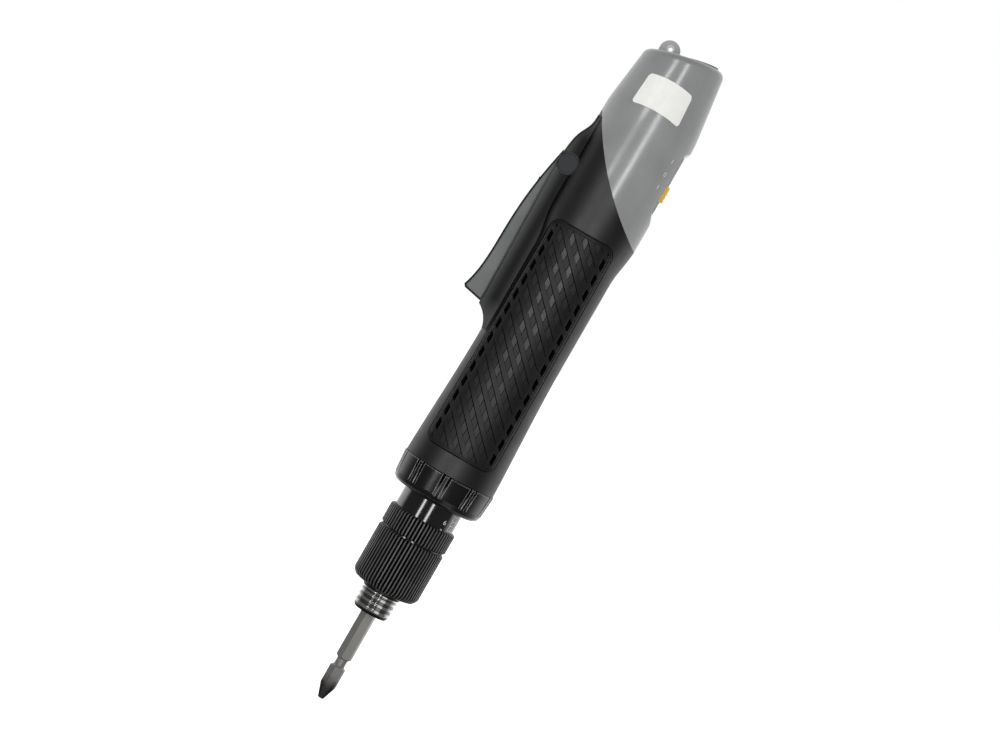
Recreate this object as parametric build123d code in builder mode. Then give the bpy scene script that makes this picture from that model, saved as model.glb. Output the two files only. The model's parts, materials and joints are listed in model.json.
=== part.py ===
from build123d import *
import os
from math import acos, cos, pi, radians, sin, sqrt, tan

os.makedirs("parts", exist_ok=True)

# Electric torque screwdriver with a lever start and an adjustable clutch, in millimetres.
# The drive axis is +Z, from the tip of the bit at the origin to the hanger tab at the rear.
# The front with the label faces -Y, the start lever is on -X and the direction switch on +X.

# Fits
fit = 0.05  # radial gap of running and sliding fits
end_gap = 0.1  # gap between pieces that are stacked end to end
wall = 2.4  # plain moulded wall

# Driver bit, the same at both ends
hex_flats = 6.35
bit_length = 65.0
tip_radius = 1.25
tip_height = 5.5
groove_place = 17.6  # middle of the ball groove, from the bit's end
groove_radius = 2.4
groove_half = 2.65
groove_slope = 1.1
flute_width = 1.5
flute_root = 0.95
flute_height = 12.0
hex_turn = -100.4  # the bit's turn about the axis in the photograph, in degrees

# Quick change chuck
ball_diameter = 3.0
spindle_radius = 5.5
chuck_depth = 22.8  # length of the bit that lies in the chuck
collar_length = 9.9
collar_radius = 8.6
collar_waist = 8.2
collar_lip = 6.9
collar_relief = 7.2  # inner radius that frees the balls
land_length = 2.0
clip_thickness = 0.6
clip_radius = 6.3
clip_groove = 5.1
chuck_wire = 0.55

# Torque nut, lock ring and scale tube
nose_radius = 9.0
nose_length = 1.3
nut_radius = 15.45
nut_length = 24.7
nut_front_radius = 12.0
nut_front_height = 3.2
nut_wall_height = 6.3
lock_gap = 0.6
lock_length = 9.6
lock_radius = 15.4
rib_count = 60
rib_depth = 0.55
rib_groove_width = 1.1
scale_length = 8.9
tube_radius = 13.75
tube_bore = 12.1
tube_hidden = 21.6  # part of the tube that the nut and the lock ring cover
bush_wall = 2.0
bush_length = 5.0

# Torque spring and clutch
seat_thickness = 3.2
cam_thickness = 5.0
clutch_ball = 4.0
clutch_ball_circle = 8.5
clutch_ball_count = 6
ball_pocket = 0.4
spring_wire = 2.2
spring_radius = 9.0
spring_turns = 6.5

# Planetary gears
module = 0.6
sun_teeth = 15
planet_teeth = 15
planet_count = 3
pressure = radians(25)
addendum = 0.9
dedendum = 1.2
backlash = 0.1
gear_width = 9.7
pin_radius = 1.5
ring_length = 13.5

# Coupling nut
coupling_length = 13.5
coupling_front_radius = 17.5
coupling_low_radius = 20.9
coupling_high_radius = 21.6
coupling_round = 3.6
coupling_ribs = 10
coupling_rib_width = 1.6
coupling_groove_width = 1.25
coupling_groove_depth = 0.9
coupling_chamfer = 0.6
flange_radius = 17.9
flange_thickness = 3.0
neck_bore = 16.5

# Moulded body: radius and height above the coupling nut
body_front_radius = 21.1
body_waist_radius = 19.0
body_rear_radius = 21.0
waist_middle = (19.85, 30.0)
waist_start = 64.0
waist_end = 102.0
swell_end = 121.0
cover_break = 168.0
cover_shoulder_drop = 0.6
cover_shoulder = 175.4
cover_top_drop = 3.0
cover_top = 194.0
rear_middle = 200.6  # height of the slanted rear face on the axis
rear_slant = 11.6  # degrees, rising towards the direction switch
rear_round = 3.4
cover_wall = 4.2  # wall of the rear cover and the tongue under it
motor_radius = 16.0
joint_low = 119.5  # ends and middle of the curved joint between body and rear cover
joint_middle = 137.2
joint_high = 165.7
tongue_wall = 1.7
tongue_reach = 8.0

# Grip pads
pad_low = 8.5
pad_high = 116.0
pad_low_half = 16.3
pad_high_half = 15.0
pad_corner = 4.5
pad_proud = 0.5
pad_depth = 1.15
pad_slots = 14
pad_slot_pitch = 7.4
pad_slot_size = (2.0, 4.2)
pad_slot_inset = 2.1

# Start lever and its saddle; the outlines are (outwards, along) from the pivot
pivot_out = 0.5
pivot_z = 138.0
lever_half = 5.5
lever_wall = 1.6
lever_web = 1.8
lever_back = (
    (-4.8, 4.2),
    (-6.5, -4.0),
    (-8.7, -18.0),
    (-9.9, -36.0),
    (-10.6, -54.0),
    (-11.8, -61.3),
    (-13.0, -65.3),
)
lever_toe = ((-12.1, -66.6), (-3.5, -68.4))
lever_neck = (1.9, -3.4)
lever_round = 0.9
channel_low = -65.4
slot_half = 6.0
slot_low = -69.6
slot_high = 4.7
saddle_half = 9.0
saddle_foot = ((3.0, -78.0), (0.6, -72.7), (-3.4, -69.3))
saddle_hood = ((-4.8, -3.5), (-4.2, 4.0), (-2.3, 13.5), (-0.1, 18.0), (0.8, 24.0))
saddle_root = 9.5
saddle_round = 1.2
lever_pin_radius = 1.5
lever_eye = 2.7
cap_radius = 5.0
cap_thickness = 1.1
plunger_drop = 12.0  # below the pivot
plunger_radius = 1.75
plunger_gap = 0.9  # from the lever's nub to the slot's floor, beyond the plunger's head

# Direction switch
recess_low = 132.6
recess_high = 167.0
recess_ramp = 6.4
recess_rise = 3.0
recess_depth = 2.3
recess_half = 8.0
knob_low = 143.2
knob_height = 7.2
knob_half = 4.5
knob_proud = 2.0
knob_chamfer = 0.4
knob_slot_margin = 1.1
knob_travel = 12.0
knob_stem_half = 2.0
knob_grooves = 3
knob_groove = 0.5

# Motor and electronics
motor_wall = 1.2
motor_cap = 4.0
shaft_radius = 2.0
bearing_radius = 5.5
bearing_width = 4.0
rotor_radius = 8.0
stator_inner = 8.5
rotor_length = 50.0
rotor_margin = 9.0  # from the rotor to each end of the motor
board_thickness = 1.6
board_place = 6.6
board_margin = 4.5  # from the wall of the cavity to each side of the board
board_length = (139.0, 187.0)
switch_size = (7.8, 9.4, 14.0)
direction_size = (6.4, 9.4, 38.0)
part_gap = 0.8  # between the switches and the wall of the cavity
screw_radius = 1.3
screw_head = 2.5
screw_head_height = 1.3
screw_sink = 3.0  # depth of the shells' screw seats below the waist
cover_screw_sink = 1.5
boss_radius = 3.3

# Rear: power inlet and hanger
inlet_x = 5.2
inlet_radius = 6.5
inlet_wall = 0.9
inlet_flange = 8.2
inlet_depth = 9.0
inlet_open = 5.0
inlet_step = 0.4  # shoulder that keeps the plug off the insulator
contact_radius = 0.8
contact_circle = 4.0
contact_count = 6
tab_x = -8.5
tab_round = 3.0
tab_width = 9.1
tab_thickness = 2.0
tab_top = 205.0
eye_drop = 3.7
eye_radius = 1.8
eye_bore = 1.0

# Radii that follow from the sizes above
cavity_radius = body_rear_radius - cover_wall
cover_shoulder_radius = body_rear_radius - cover_shoulder_drop
cover_top_radius = body_rear_radius - cover_top_drop
slot_floor = wall - body_rear_radius
recess_floor = body_rear_radius - recess_depth
knob_top = recess_floor + knob_proud
switch_face = cavity_radius - part_gap
screw_seat = body_waist_radius - screw_sink

# Places along the axis
chuck_front = bit_length - chuck_depth
nose_front = chuck_front + collar_length + 0.3
nut_front = nose_front + nose_length
nut_rear = nut_front + nut_length
lock_front = nut_rear + lock_gap
lock_rear = lock_front + lock_length
coupling_front = lock_rear + scale_length
body_front = coupling_front + coupling_length
flange_front = coupling_front + 2.5
neck_front = flange_front + flange_thickness
seat_front = nut_front + nut_wall_height + end_gap
seat_rear = seat_front + seat_thickness
driver_front = flange_front - 0.8
clutch_ball_centre = driver_front + ball_pocket - clutch_ball / 2
cam_rear = clutch_ball_centre - clutch_ball / 2 + ball_pocket
cam_front = cam_rear - cam_thickness
gear_front = body_front + 2.0
gear_rear = gear_front + gear_width
ring_front = gear_front - 1.0
ring_rear = ring_front + ring_length
motor_front = ring_rear + 1.5
motor_rear = motor_front + rotor_length + 2 * rotor_margin
land_front = chuck_front + 4.3
land_rear = land_front + land_length
clip_front = chuck_front + 0.3
ball_circle = groove_radius + ball_diameter / 2
ball_centre = bit_length - groove_place
rear_plane = Plane(
    origin=(0, 0, body_front + rear_middle),
    z_dir=(-sin(radians(rear_slant)), 0, cos(radians(rear_slant))),
)
pivot = (-body_rear_radius - pivot_out, body_front + pivot_z)
FRONT = -1
BACK = 1


def turn(corners, mode=Mode.ADD):
    """Turn a closed outline of (radius, height) corners about the drive axis."""
    with BuildSketch(Plane.XZ) as outline:
        with BuildLine():
            Polyline(*corners, close=True)
        make_face()
    revolve(outline.sketch, axis=Axis.Z, mode=mode)


def ring(inner, outer, low, high, mode=Mode.ADD):
    """Turn a plain ring, or a disc where the inner radius is 0."""
    turn([(inner, low), (outer, low), (outer, high), (inner, high)], mode)


def slab(corners, half_width, mode=Mode.ADD):
    """Extrude an outline drawn in the XZ plane to both sides of the middle plane."""
    with BuildSketch(Plane.XZ) as outline:
        with BuildLine():
            Polyline(*corners, close=True)
        make_face()
    extrude(outline.sketch, amount=half_width, both=True, mode=mode)


def rod(x, z, radius, low, high, mode=Mode.ADD):
    """A round rod along Y between two places, at a place in the XZ plane."""
    with BuildSketch(Plane.XZ.offset(-high)) as section:
        with Locations((x, z)):
            Circle(radius)
    extrude(section.sketch, amount=high - low, mode=mode)


def block(x, y, z, mode=Mode.ADD):
    """A box between two places along each axis."""
    with Locations(((x[0] + x[1]) / 2, (y[0] + y[1]) / 2, (z[0] + z[1]) / 2)):
        Box(x[1] - x[0], y[1] - y[0], z[1] - z[0], mode=mode)


def from_pivot(out, along):
    """A place in the XZ plane, from the pivot of the lever."""
    return (pivot[0] + out, pivot[1] + along)


def save(piece, name):
    """Label a finished piece and write it."""
    piece.part.label = name
    export_step(piece.part, f"parts/{name}.step")


def hexagon(flats, low, high, mode=Mode.ADD):
    """A hexagonal bar, turned as the bit sits in the photograph's pose."""
    with BuildSketch(Plane.XY.offset(low)) as section:
        RegularPolygon(flats / 2, 6, major_radius=False, rotation=hex_turn)
    extrude(section.sketch, amount=high - low, mode=mode)


def grooved(radius, low, high):
    """Keep what lies inside a cylinder with straight V grooves all round."""
    with BuildSketch(Plane.XY.offset(low)) as section:
        Circle(radius)
        with PolarLocations(radius, rib_count):
            Polygon(
                (-rib_depth, 0),
                (rib_depth, -rib_groove_width),
                (rib_depth, rib_groove_width),
                align=None,
                mode=Mode.SUBTRACT,
            )
    extrude(section.sketch, amount=high - low, mode=Mode.INTERSECT)


def coil(radius, wire, low, high, turns, cone=0):
    """A coil spring of square wire about the drive axis."""
    height = high - low - wire
    path = Helix(height / turns, height, radius, (0, 0, low + wire / 2), cone_angle=cone)
    with BuildSketch(Plane(origin=path @ 0, x_dir=(1, 0, 0), z_dir=path % 0)) as section:
        Rectangle(wire, wire)
    sweep(section.sketch, path=path, is_frenet=True)


# Driver bit: a hexagonal bar with a ball groove and a cross point at each end
hex_corner = hex_flats / sqrt(3)
with BuildPart() as driver_bit:
    half_profile = [
        (0, 0),
        (tip_radius, 0),
        (hex_flats / 2, tip_height),
        (hex_corner + fit, tip_height + 1.2),
        (hex_corner + fit, groove_place - groove_half),
        (groove_radius, groove_place - groove_half + groove_slope),
        (groove_radius, groove_place + groove_half - groove_slope),
        (hex_corner + fit, groove_place + groove_half),
    ]
    turn(half_profile + [(r, bit_length - z) for r, z in reversed(half_profile)])
    hexagon(hex_flats, 0, bit_length, mode=Mode.INTERSECT)
    for end in (Plane.XY, Plane.XY.offset(bit_length).rotated((180, 0, 0))):
        for turn_angle in range(45, 405, 90):
            outwards = end.x_dir.rotate(Axis((0, 0, 0), end.z_dir), turn_angle)
            side = Plane(end.origin, x_dir=outwards, z_dir=end.z_dir)
            with BuildSketch(Plane(end.origin, x_dir=side.x_dir, z_dir=-side.y_dir)):
                with BuildLine():
                    Polyline(
                        (flute_root, -1),
                        (flute_root, 1),
                        (hex_corner + 0.6, flute_height),
                        (hex_corner + 2, -1),
                        close=True,
                    )
                make_face()
            extrude(amount=flute_width / 2, both=True, mode=Mode.SUBTRACT)
save(driver_bit, "driver_bit")

# Output spindle: hexagonal socket, ball holes, clip groove and shoulder for the collar
with BuildPart() as output_spindle:
    turn(
        [
            (0, chuck_front - 0.2),
            (spindle_radius - 0.5, chuck_front - 0.2),
            (spindle_radius, clip_front - 0.05),
            (clip_groove, clip_front - 0.05),
            (clip_groove, clip_front + clip_thickness + 0.05),
            (spindle_radius, clip_front + clip_thickness + 0.05),
            (spindle_radius, land_rear + 0.05),
            (collar_relief - 0.4, land_rear + 0.05),
            (collar_relief - 0.4, nose_front - 0.5),
            (spindle_radius, nose_front - 0.5),
            (spindle_radius, driver_front - end_gap),
            (spindle_radius - 2.5, driver_front - end_gap),
            (spindle_radius - 2.5, neck_front + 6),
            (0, neck_front + 6),
        ]
    )
    hexagon(hex_flats + 2 * fit, chuck_front - 1, bit_length + 0.3, mode=Mode.SUBTRACT)
    with Locations(Plane(origin=(0, 0, ball_centre), z_dir=(1, 0, 0))):
        Cylinder(ball_diameter / 2 + fit, 2 * spindle_radius + 0.2, mode=Mode.SUBTRACT)
save(output_spindle, "output_spindle")

# Two balls that hold the bit
with BuildPart() as retaining_balls:
    with Locations((ball_circle + fit, 0, ball_centre), (-ball_circle - fit, 0, ball_centre)):
        Sphere(ball_diameter / 2)
save(retaining_balls, "retaining_balls")

# Chuck collar with three gripping ridges
collar_rear = chuck_front + collar_length
with BuildPart() as bit_collar:
    ridge = collar_length / 9.9
    turn(
        [
            (collar_lip, chuck_front),
            (collar_lip + 0.5, chuck_front),
            (collar_radius, chuck_front + 1.9 * ridge),
            (collar_radius, chuck_front + 2.9 * ridge),
            (collar_waist, chuck_front + 3.2 * ridge),
            (collar_waist, chuck_front + 4.3 * ridge),
            (collar_radius, chuck_front + 4.6 * ridge),
            (collar_radius, chuck_front + 5.7 * ridge),
            (collar_waist, chuck_front + 6.0 * ridge),
            (collar_waist, chuck_front + 6.9 * ridge),
            (collar_radius, chuck_front + 7.2 * ridge),
            (collar_radius, chuck_front + 8.3 * ridge),
            (collar_waist, chuck_front + 8.6 * ridge),
            (collar_waist, collar_rear - 0.8),
            (collar_radius, collar_rear - 0.6),
            (collar_radius, collar_rear),
            (collar_relief, collar_rear),
            (collar_relief, land_rear),
            (spindle_radius + fit, land_rear),
            (spindle_radius + fit, land_front),
            (collar_lip, land_front),
        ]
    )
save(bit_collar, "bit_collar")

# Split clip that keeps the collar spring
with BuildPart() as collar_retaining_ring:
    ring(clip_groove + fit, clip_radius, clip_front, clip_front + clip_thickness)
    block((0, 10), (-2, 2), (clip_front - 1, clip_front + 2), mode=Mode.SUBTRACT)
save(collar_retaining_ring, "collar_retaining_ring")

# Collar spring between the clip and the land
with BuildPart() as collar_spring:
    coil(spindle_radius + 0.75, chuck_wire, clip_front + clip_thickness + 0.02, land_front - 0.02, 3)
save(collar_spring, "collar_spring")

# Torque nut: ribbed sleeve with a nose, screwed over the front of the scale tube
nut_bore = tube_radius + fit
bush_outer = spindle_radius + fit + bush_wall
with BuildPart() as torque_nut:
    turn(
        [
            (bush_outer, nose_front),
            (nose_radius - 0.3, nose_front),
            (nose_radius, nose_front + 0.3),
            (nose_radius, nut_front),
            (nut_front_radius, nut_front),
            (nut_front_radius + 1.8, nut_front + 0.55),
            (nut_radius - 0.5, nut_front + nut_front_height * 0.6),
            (nut_radius, nut_front + nut_front_height),
            (nut_radius, nut_rear - 0.7),
            (nut_radius - 0.7, nut_rear),
            (nut_bore, nut_rear),
            (nut_bore, nut_front + nut_wall_height),
            (bush_outer, nut_front + nut_wall_height),
        ]
    )
    grooved(nut_radius, nose_front, nut_rear)
save(torque_nut, "torque_nut")

# Bronze bush in the nose, in which the spindle runs
with BuildPart() as nose_bush:
    ring(spindle_radius + fit, bush_outer, nose_front + 0.6, nose_front + 0.6 + bush_length)
save(nose_bush, "nose_bush")

# Lock ring behind the torque nut
with BuildPart() as lock_ring:
    turn(
        [
            (nut_bore, lock_front),
            (lock_radius - 0.8, lock_front),
            (lock_radius, lock_front + 0.8),
            (lock_radius, lock_rear - 0.8),
            (lock_radius - 0.8, lock_rear),
            (nut_bore, lock_rear),
        ]
    )
    grooved(lock_radius, lock_front, lock_rear)
save(lock_ring, "lock_ring")

# Spring seat that the torque nut pushes along
with BuildPart() as spring_seat:
    turn(
        [
            (spindle_radius + 0.5, seat_front),
            (tube_bore - 0.2, seat_front),
            (tube_bore - 0.2, seat_rear),
            (spring_radius - spring_wire / 2 - 0.1, seat_rear),
            (spring_radius - spring_wire / 2 - 0.1, seat_rear + 1.5),
            (spindle_radius + 0.5, seat_rear + 1.5),
        ]
    )
save(spring_seat, "spring_seat")

# Torque spring between its seat and the cam ring
with BuildPart() as torque_spring:
    coil(spring_radius, spring_wire, seat_rear + 0.02, cam_front - 0.02, spring_turns)
save(torque_spring, "torque_spring")

# Scale tube and clutch housing in one, with the flange that the coupling nut clamps
driver_bore = neck_bore - 1.5
with BuildPart() as clutch_housing:
    turn(
        [
            (tube_bore, lock_rear - tube_hidden),
            (tube_radius, lock_rear - tube_hidden),
            (tube_radius, flange_front),
            (flange_radius, flange_front),
            (flange_radius, neck_front - fit),
            (neck_bore - 0.1, neck_front - fit),
            (neck_bore - 0.1, ring_front - end_gap),
            (driver_bore, ring_front - end_gap),
            (driver_bore, neck_front - 1.5),
            (tube_bore, neck_front - 1.5),
        ]
    )
save(clutch_housing, "clutch_housing")


def clutch_pockets():
    """Cut the ball pockets, at the places of the clutch balls."""
    with Locations((0, 0, clutch_ball_centre)):
        with PolarLocations(clutch_ball_circle, clutch_ball_count):
            Sphere(clutch_ball / 2 + fit, mode=Mode.SUBTRACT)


# Cam ring that the torque spring presses against the balls
with BuildPart() as clutch_cam_ring:
    ring(spindle_radius + fit, tube_bore - 0.2, cam_front, cam_rear)
    clutch_pockets()
save(clutch_cam_ring, "clutch_cam_ring")

with BuildPart() as clutch_balls:
    with Locations((0, 0, clutch_ball_centre)):
        with PolarLocations(clutch_ball_circle, clutch_ball_count):
            Sphere(clutch_ball / 2)
save(clutch_balls, "clutch_balls")

# Planet carrier, which is also the driving half of the clutch
pitch_sum = module * (sun_teeth + planet_teeth) / 2
carrier_hub = 9.5
carrier_radius = driver_bore - 0.6
carrier_rear = ring_front - end_gap
carrier_front = carrier_rear - 2.4
with BuildPart() as planet_carrier:
    turn(
        [
            (spindle_radius - 2.5 + fit, driver_front),
            (tube_bore - 0.2, driver_front),
            (tube_bore - 0.2, neck_front - 1.5 + end_gap),
            (carrier_hub, neck_front - 1.5 + end_gap),
            (carrier_hub, carrier_front),
            (carrier_radius, carrier_front),
            (carrier_radius, carrier_rear),
            (0, carrier_rear),
            (0, neck_front + 6 + end_gap),
            (spindle_radius - 2.5 + fit, neck_front + 6 + end_gap),
        ]
    )
    clutch_pockets()
    with Locations((0, 0, (carrier_rear + carrier_front) / 2)):
        with PolarLocations(pitch_sum, planet_count):
            Cylinder(pin_radius, 6, mode=Mode.SUBTRACT)
save(planet_carrier, "planet_carrier")

with BuildPart() as planet_pins:
    with BuildSketch(Plane.XY.offset(carrier_front)):
        with PolarLocations(pitch_sum, planet_count):
            Circle(pin_radius)
    extrude(amount=gear_rear + 0.5 - carrier_front)
save(planet_pins, "planet_pins")

# Ball bearing of the carrier, drawn as one closed ring
with BuildPart() as carrier_bearing:
    ring(carrier_hub + fit, driver_bore, neck_front - 1.5 + 0.3, carrier_front - 0.4)
    chamfer(carrier_bearing.edges(), 0.25)
save(carrier_bearing, "carrier_bearing")


def involute(angle):
    return tan(angle) - angle


def tooth_outline(teeth, low, high, play):
    """Corners of a gear whose teeth reach from one radius to another, with less width by the play."""
    pitch = module * teeth / 2
    base = pitch * cos(pressure)
    flank = [max(low, base), pitch, high]
    corners = []
    for tooth in range(teeth):
        centre = 2 * pi * tooth / teeth
        half_tooth = []
        for radius in flank:
            width = pi / (2 * teeth) - play / (2 * pitch) + involute(pressure)
            half_tooth.append((radius, width - involute(acos(base / radius))))
        if low < base:
            half_tooth.insert(0, (low, half_tooth[0][1]))
        for radius, width in half_tooth:
            corners.append((radius * cos(centre - width), radius * sin(centre - width)))
        for radius, width in reversed(half_tooth):
            corners.append((radius * cos(centre + width), radius * sin(centre + width)))
    return corners


def gear(teeth, bore, low, high, x=0.0, turned=0.0):
    """An external spur gear about an axis along Z at a place on +X, swung round the drive axis."""
    pitch = module * teeth / 2
    teeth_line = tooth_outline(teeth, pitch - dedendum * module, pitch + addendum * module, backlash / 2)
    with BuildSketch(Plane.XY.offset(low)) as section:
        with BuildLine():
            Polyline(*teeth_line, close=True)
        make_face()
        Circle(bore, mode=Mode.SUBTRACT)
    placed = section.sketch.moved(Location((x, 0, 0))).rotate(Axis.Z, turned)
    extrude(placed, amount=high - low)


for number in range(planet_count):
    with BuildPart() as planet_gear:
        gear(planet_teeth, pin_radius + fit, gear_front, gear_rear, pitch_sum, 360 / planet_count * number)
    save(planet_gear, f"planet_gear_{number + 1}")

# Ring gear, fixed in the body
ring_teeth = sun_teeth + 2 * planet_teeth
ring_pitch = module * ring_teeth / 2
ring_tip = ring_pitch - addendum * module
ring_root = ring_pitch + dedendum * module
with BuildPart() as ring_gear:
    with BuildSketch(Plane.XY.offset(ring_front)):
        Circle(neck_bore - fit)
        with BuildLine():
            Polyline(*tooth_outline(ring_teeth, ring_tip, ring_root, -backlash / 2), close=True)
        make_face(mode=Mode.SUBTRACT)
    extrude(amount=ring_rear - ring_front)
save(ring_gear, "ring_gear")

# Sun pinion on the motor shaft
with BuildPart() as sun_pinion:
    gear(sun_teeth, shaft_radius, gear_front, gear_rear + 0.4)
save(sun_pinion, "sun_pinion")

# Motor
with BuildPart() as motor_shaft:
    ring(0, shaft_radius, gear_front, motor_rear - 0.5)
save(motor_shaft, "motor_shaft")

bearing_front = motor_front + 0.6
bearing_rear = motor_rear - 0.6 - bearing_width
with BuildPart() as motor_front_cap:
    turn(
        [
            (shaft_radius + 0.5, motor_front),
            (motor_radius - 0.6, motor_front),
            (motor_radius, motor_front + 0.6),
            (motor_radius, motor_front + motor_cap),
            (motor_radius - motor_wall, motor_front + motor_cap),
            (motor_radius - motor_wall, motor_front + motor_cap + 1.5),
            (bearing_radius, motor_front + motor_cap + 1.5),
            (bearing_radius, bearing_front),
            (shaft_radius + 0.5, bearing_front),
        ]
    )
save(motor_front_cap, "motor_front_cap")

with BuildPart() as motor_rear_cap:
    turn(
        [
            (shaft_radius + 0.5, motor_rear),
            (motor_radius - 0.6, motor_rear),
            (motor_radius, motor_rear - 0.6),
            (motor_radius, motor_rear - motor_cap),
            (motor_radius - motor_wall, motor_rear - motor_cap),
            (motor_radius - motor_wall, motor_rear - motor_cap - 1.5),
            (bearing_radius, motor_rear - motor_cap - 1.5),
            (bearing_radius, motor_rear - 0.6),
            (shaft_radius + 0.5, motor_rear - 0.6),
        ]
    )
save(motor_rear_cap, "motor_rear_cap")

for name, low in (("motor_front_bearing", bearing_front), ("motor_rear_bearing", bearing_rear)):
    with BuildPart() as motor_bearing:
        ring(shaft_radius + fit, bearing_radius, low, low + bearing_width)
    save(motor_bearing, name)

with BuildPart() as motor_can:
    ring(motor_radius - motor_wall, motor_radius, motor_front + motor_cap, motor_rear - motor_cap)
save(motor_can, "motor_can")

rotor_front = (motor_front + motor_rear - rotor_length) / 2
with BuildPart() as rotor_magnet:
    ring(shaft_radius, rotor_radius, rotor_front, rotor_front + rotor_length)
save(rotor_magnet, "rotor_magnet")

# Stator with six slots for its windings
with BuildPart() as stator:
    with BuildSketch(Plane.XY.offset(rotor_front + 1)):
        Circle(motor_radius - motor_wall)
        Circle(stator_inner, mode=Mode.SUBTRACT)
        with PolarLocations(stator_inner + 2.4, 6):
            Rectangle(2.6, 5.5, mode=Mode.SUBTRACT)
        with PolarLocations(stator_inner, 6):
            Rectangle(3, 1.2, mode=Mode.SUBTRACT)
    extrude(amount=rotor_length - 2)
save(stator, "stator")

# Sensor board behind the motor
with BuildPart() as hall_board:
    ring(shaft_radius + 1.5, motor_radius - 0.2, motor_rear + 0.3, motor_rear + 0.3 + board_thickness)
save(hall_board, "hall_board")

# Coupling nut that clamps the clutch housing to the body
coupling_rear = body_front
with BuildPart() as coupling_nut:
    rounding = coupling_low_radius - coupling_front_radius
    turn(
        [
            (tube_radius + 0.3, coupling_front),
            (coupling_front_radius, coupling_front),
            (coupling_front_radius + rounding * 0.45, coupling_front + coupling_round * 0.13),
            (coupling_front_radius + rounding * 0.8, coupling_front + coupling_round * 0.42),
            (coupling_low_radius, coupling_front + coupling_round),
            (coupling_high_radius, coupling_rear - coupling_chamfer),
            (coupling_high_radius - coupling_chamfer, coupling_rear),
            (flange_radius + 0.2, coupling_rear),
            (flange_radius + 0.2, flange_front - fit),
            (tube_radius + 0.3, flange_front - fit),
        ]
    )
    rib_step = 360 / coupling_ribs
    groove_shift = (coupling_rib_width + coupling_groove_width) / 2
    for number in range(coupling_ribs):
        rib_plane = Plane.XY.offset(coupling_front).rotated((0, 0, -87 + number * rib_step))
        with BuildSketch(rib_plane):
            with Locations((coupling_high_radius, groove_shift), (coupling_high_radius, -groove_shift)):
                Rectangle(2 * coupling_groove_depth, coupling_groove_width)
        extrude(amount=coupling_length, mode=Mode.SUBTRACT)
save(coupling_nut, "coupling_nut")


def body_outline(grow):
    """Outline of the moulded body from its front face to above its rear, grown outwards."""
    z = body_front
    with BuildSketch(Plane.XZ) as outline:
        with BuildLine():
            Spline(
                (body_front_radius + grow, z),
                (waist_middle[0] + grow, z + waist_middle[1]),
                (body_waist_radius + grow, z + waist_start),
                tangents=((-0.03, 1), (0, 1)),
            )
            Line((body_waist_radius + grow, z + waist_start), (body_waist_radius + grow, z + waist_end))
            Spline(
                (body_waist_radius + grow, z + waist_end),
                (body_rear_radius + grow, z + swell_end),
                tangents=((0, 1), (0, 1)),
            )
            Line((body_rear_radius + grow, z + swell_end), (body_rear_radius + grow, z + cover_break))
            Spline(
                (body_rear_radius + grow, z + cover_break),
                (cover_shoulder_radius + grow, z + cover_shoulder),
                tangents=((0, 1), (cover_top_radius - cover_shoulder_radius, cover_top - cover_shoulder)),
            )
            Polyline(
                (cover_shoulder_radius + grow, z + cover_shoulder),
                (cover_top_radius + grow, z + cover_top),
                (cover_top_radius + grow - 2, z + cover_top + 15),
                (0, z + cover_top + 15),
                (0, z),
                (body_front_radius + grow, z),
            )
        make_face()
    return outline.sketch


def saddle():
    """The raised seat of the lever, with its hood above the pivot."""
    foot = [from_pivot(*place) for place in saddle_foot]
    hood = [from_pivot(*place) for place in saddle_hood]
    with BuildSketch(Plane.XZ) as outline:
        with BuildLine():
            ThreePointArc(*foot)
            Line(foot[-1], hood[0])
            rise = (hood[0][0] - foot[-1][0], hood[0][1] - foot[-1][1])
            Spline(*hood, tangents=(rise, (0, 1)))
            root = pivot[0] + saddle_root
            Polyline(hood[-1], (root, hood[-1][1]), (root, foot[0][1]), foot[0])
        make_face()
    extrude(outline.sketch, amount=saddle_half, both=True)


# Solid form of the whole moulded body, before it is split into shells and cover
with BuildPart() as saddle_form:
    saddle()
    long_edges = saddle_form.edges().filter_by(Axis.Y, reverse=True)
    fillet(long_edges.filter_by(lambda edge: edge.center().X < pivot[0] - 2.5), saddle_round)

with BuildPart() as body_form:
    revolve(body_outline(0), axis=Axis.Z)
    split(bisect_by=rear_plane, keep=Keep.BOTTOM)
    rim = body_form.faces().sort_by(Axis.Z)[-1].edges()
    fillet(rim, rear_round)
    add(saddle_form.part)

# Space inside the body
with BuildPart() as cavity_form:
    turn(
        [
            (0, neck_front - 1),
            (neck_bore, neck_front - 1),
            (neck_bore, ring_rear + 0.5),
            (motor_radius + fit, ring_rear + 0.5),
            (motor_radius + fit, motor_rear + 2.2),
            (cavity_radius, motor_rear + 2.2),
            (cavity_radius, body_front + cover_shoulder),
            (cover_top_radius - wall, body_front + cover_top),
            (cover_top_radius - wall - 2, body_front + cover_top + 15),
            (0, body_front + cover_top + 15),
        ]
    )
    split(bisect_by=rear_plane.offset(-wall), keep=Keep.BOTTOM)


def joint_height(x):
    """Height of the curved joint above the coupling nut, on the circle through its three points."""
    ends = [(-body_rear_radius, joint_high), (0, joint_middle), (body_rear_radius, joint_low)]
    (ax, az), (bx, bz), (cx, cz) = ends
    turn_sum = 2 * (ax * (bz - cz) + bx * (cz - az) + cx * (az - bz))
    squares = [px**2 + pz**2 for px, pz in ends]
    centre_x = (squares[0] * (bz - cz) + squares[1] * (cz - az) + squares[2] * (az - bz)) / turn_sum
    centre_z = (squares[0] * (cx - bx) + squares[1] * (ax - cx) + squares[2] * (bx - ax)) / turn_sum
    radius = sqrt((ax - centre_x) ** 2 + (az - centre_z) ** 2)
    return centre_z - sqrt(radius**2 - (x - centre_x) ** 2)


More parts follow.
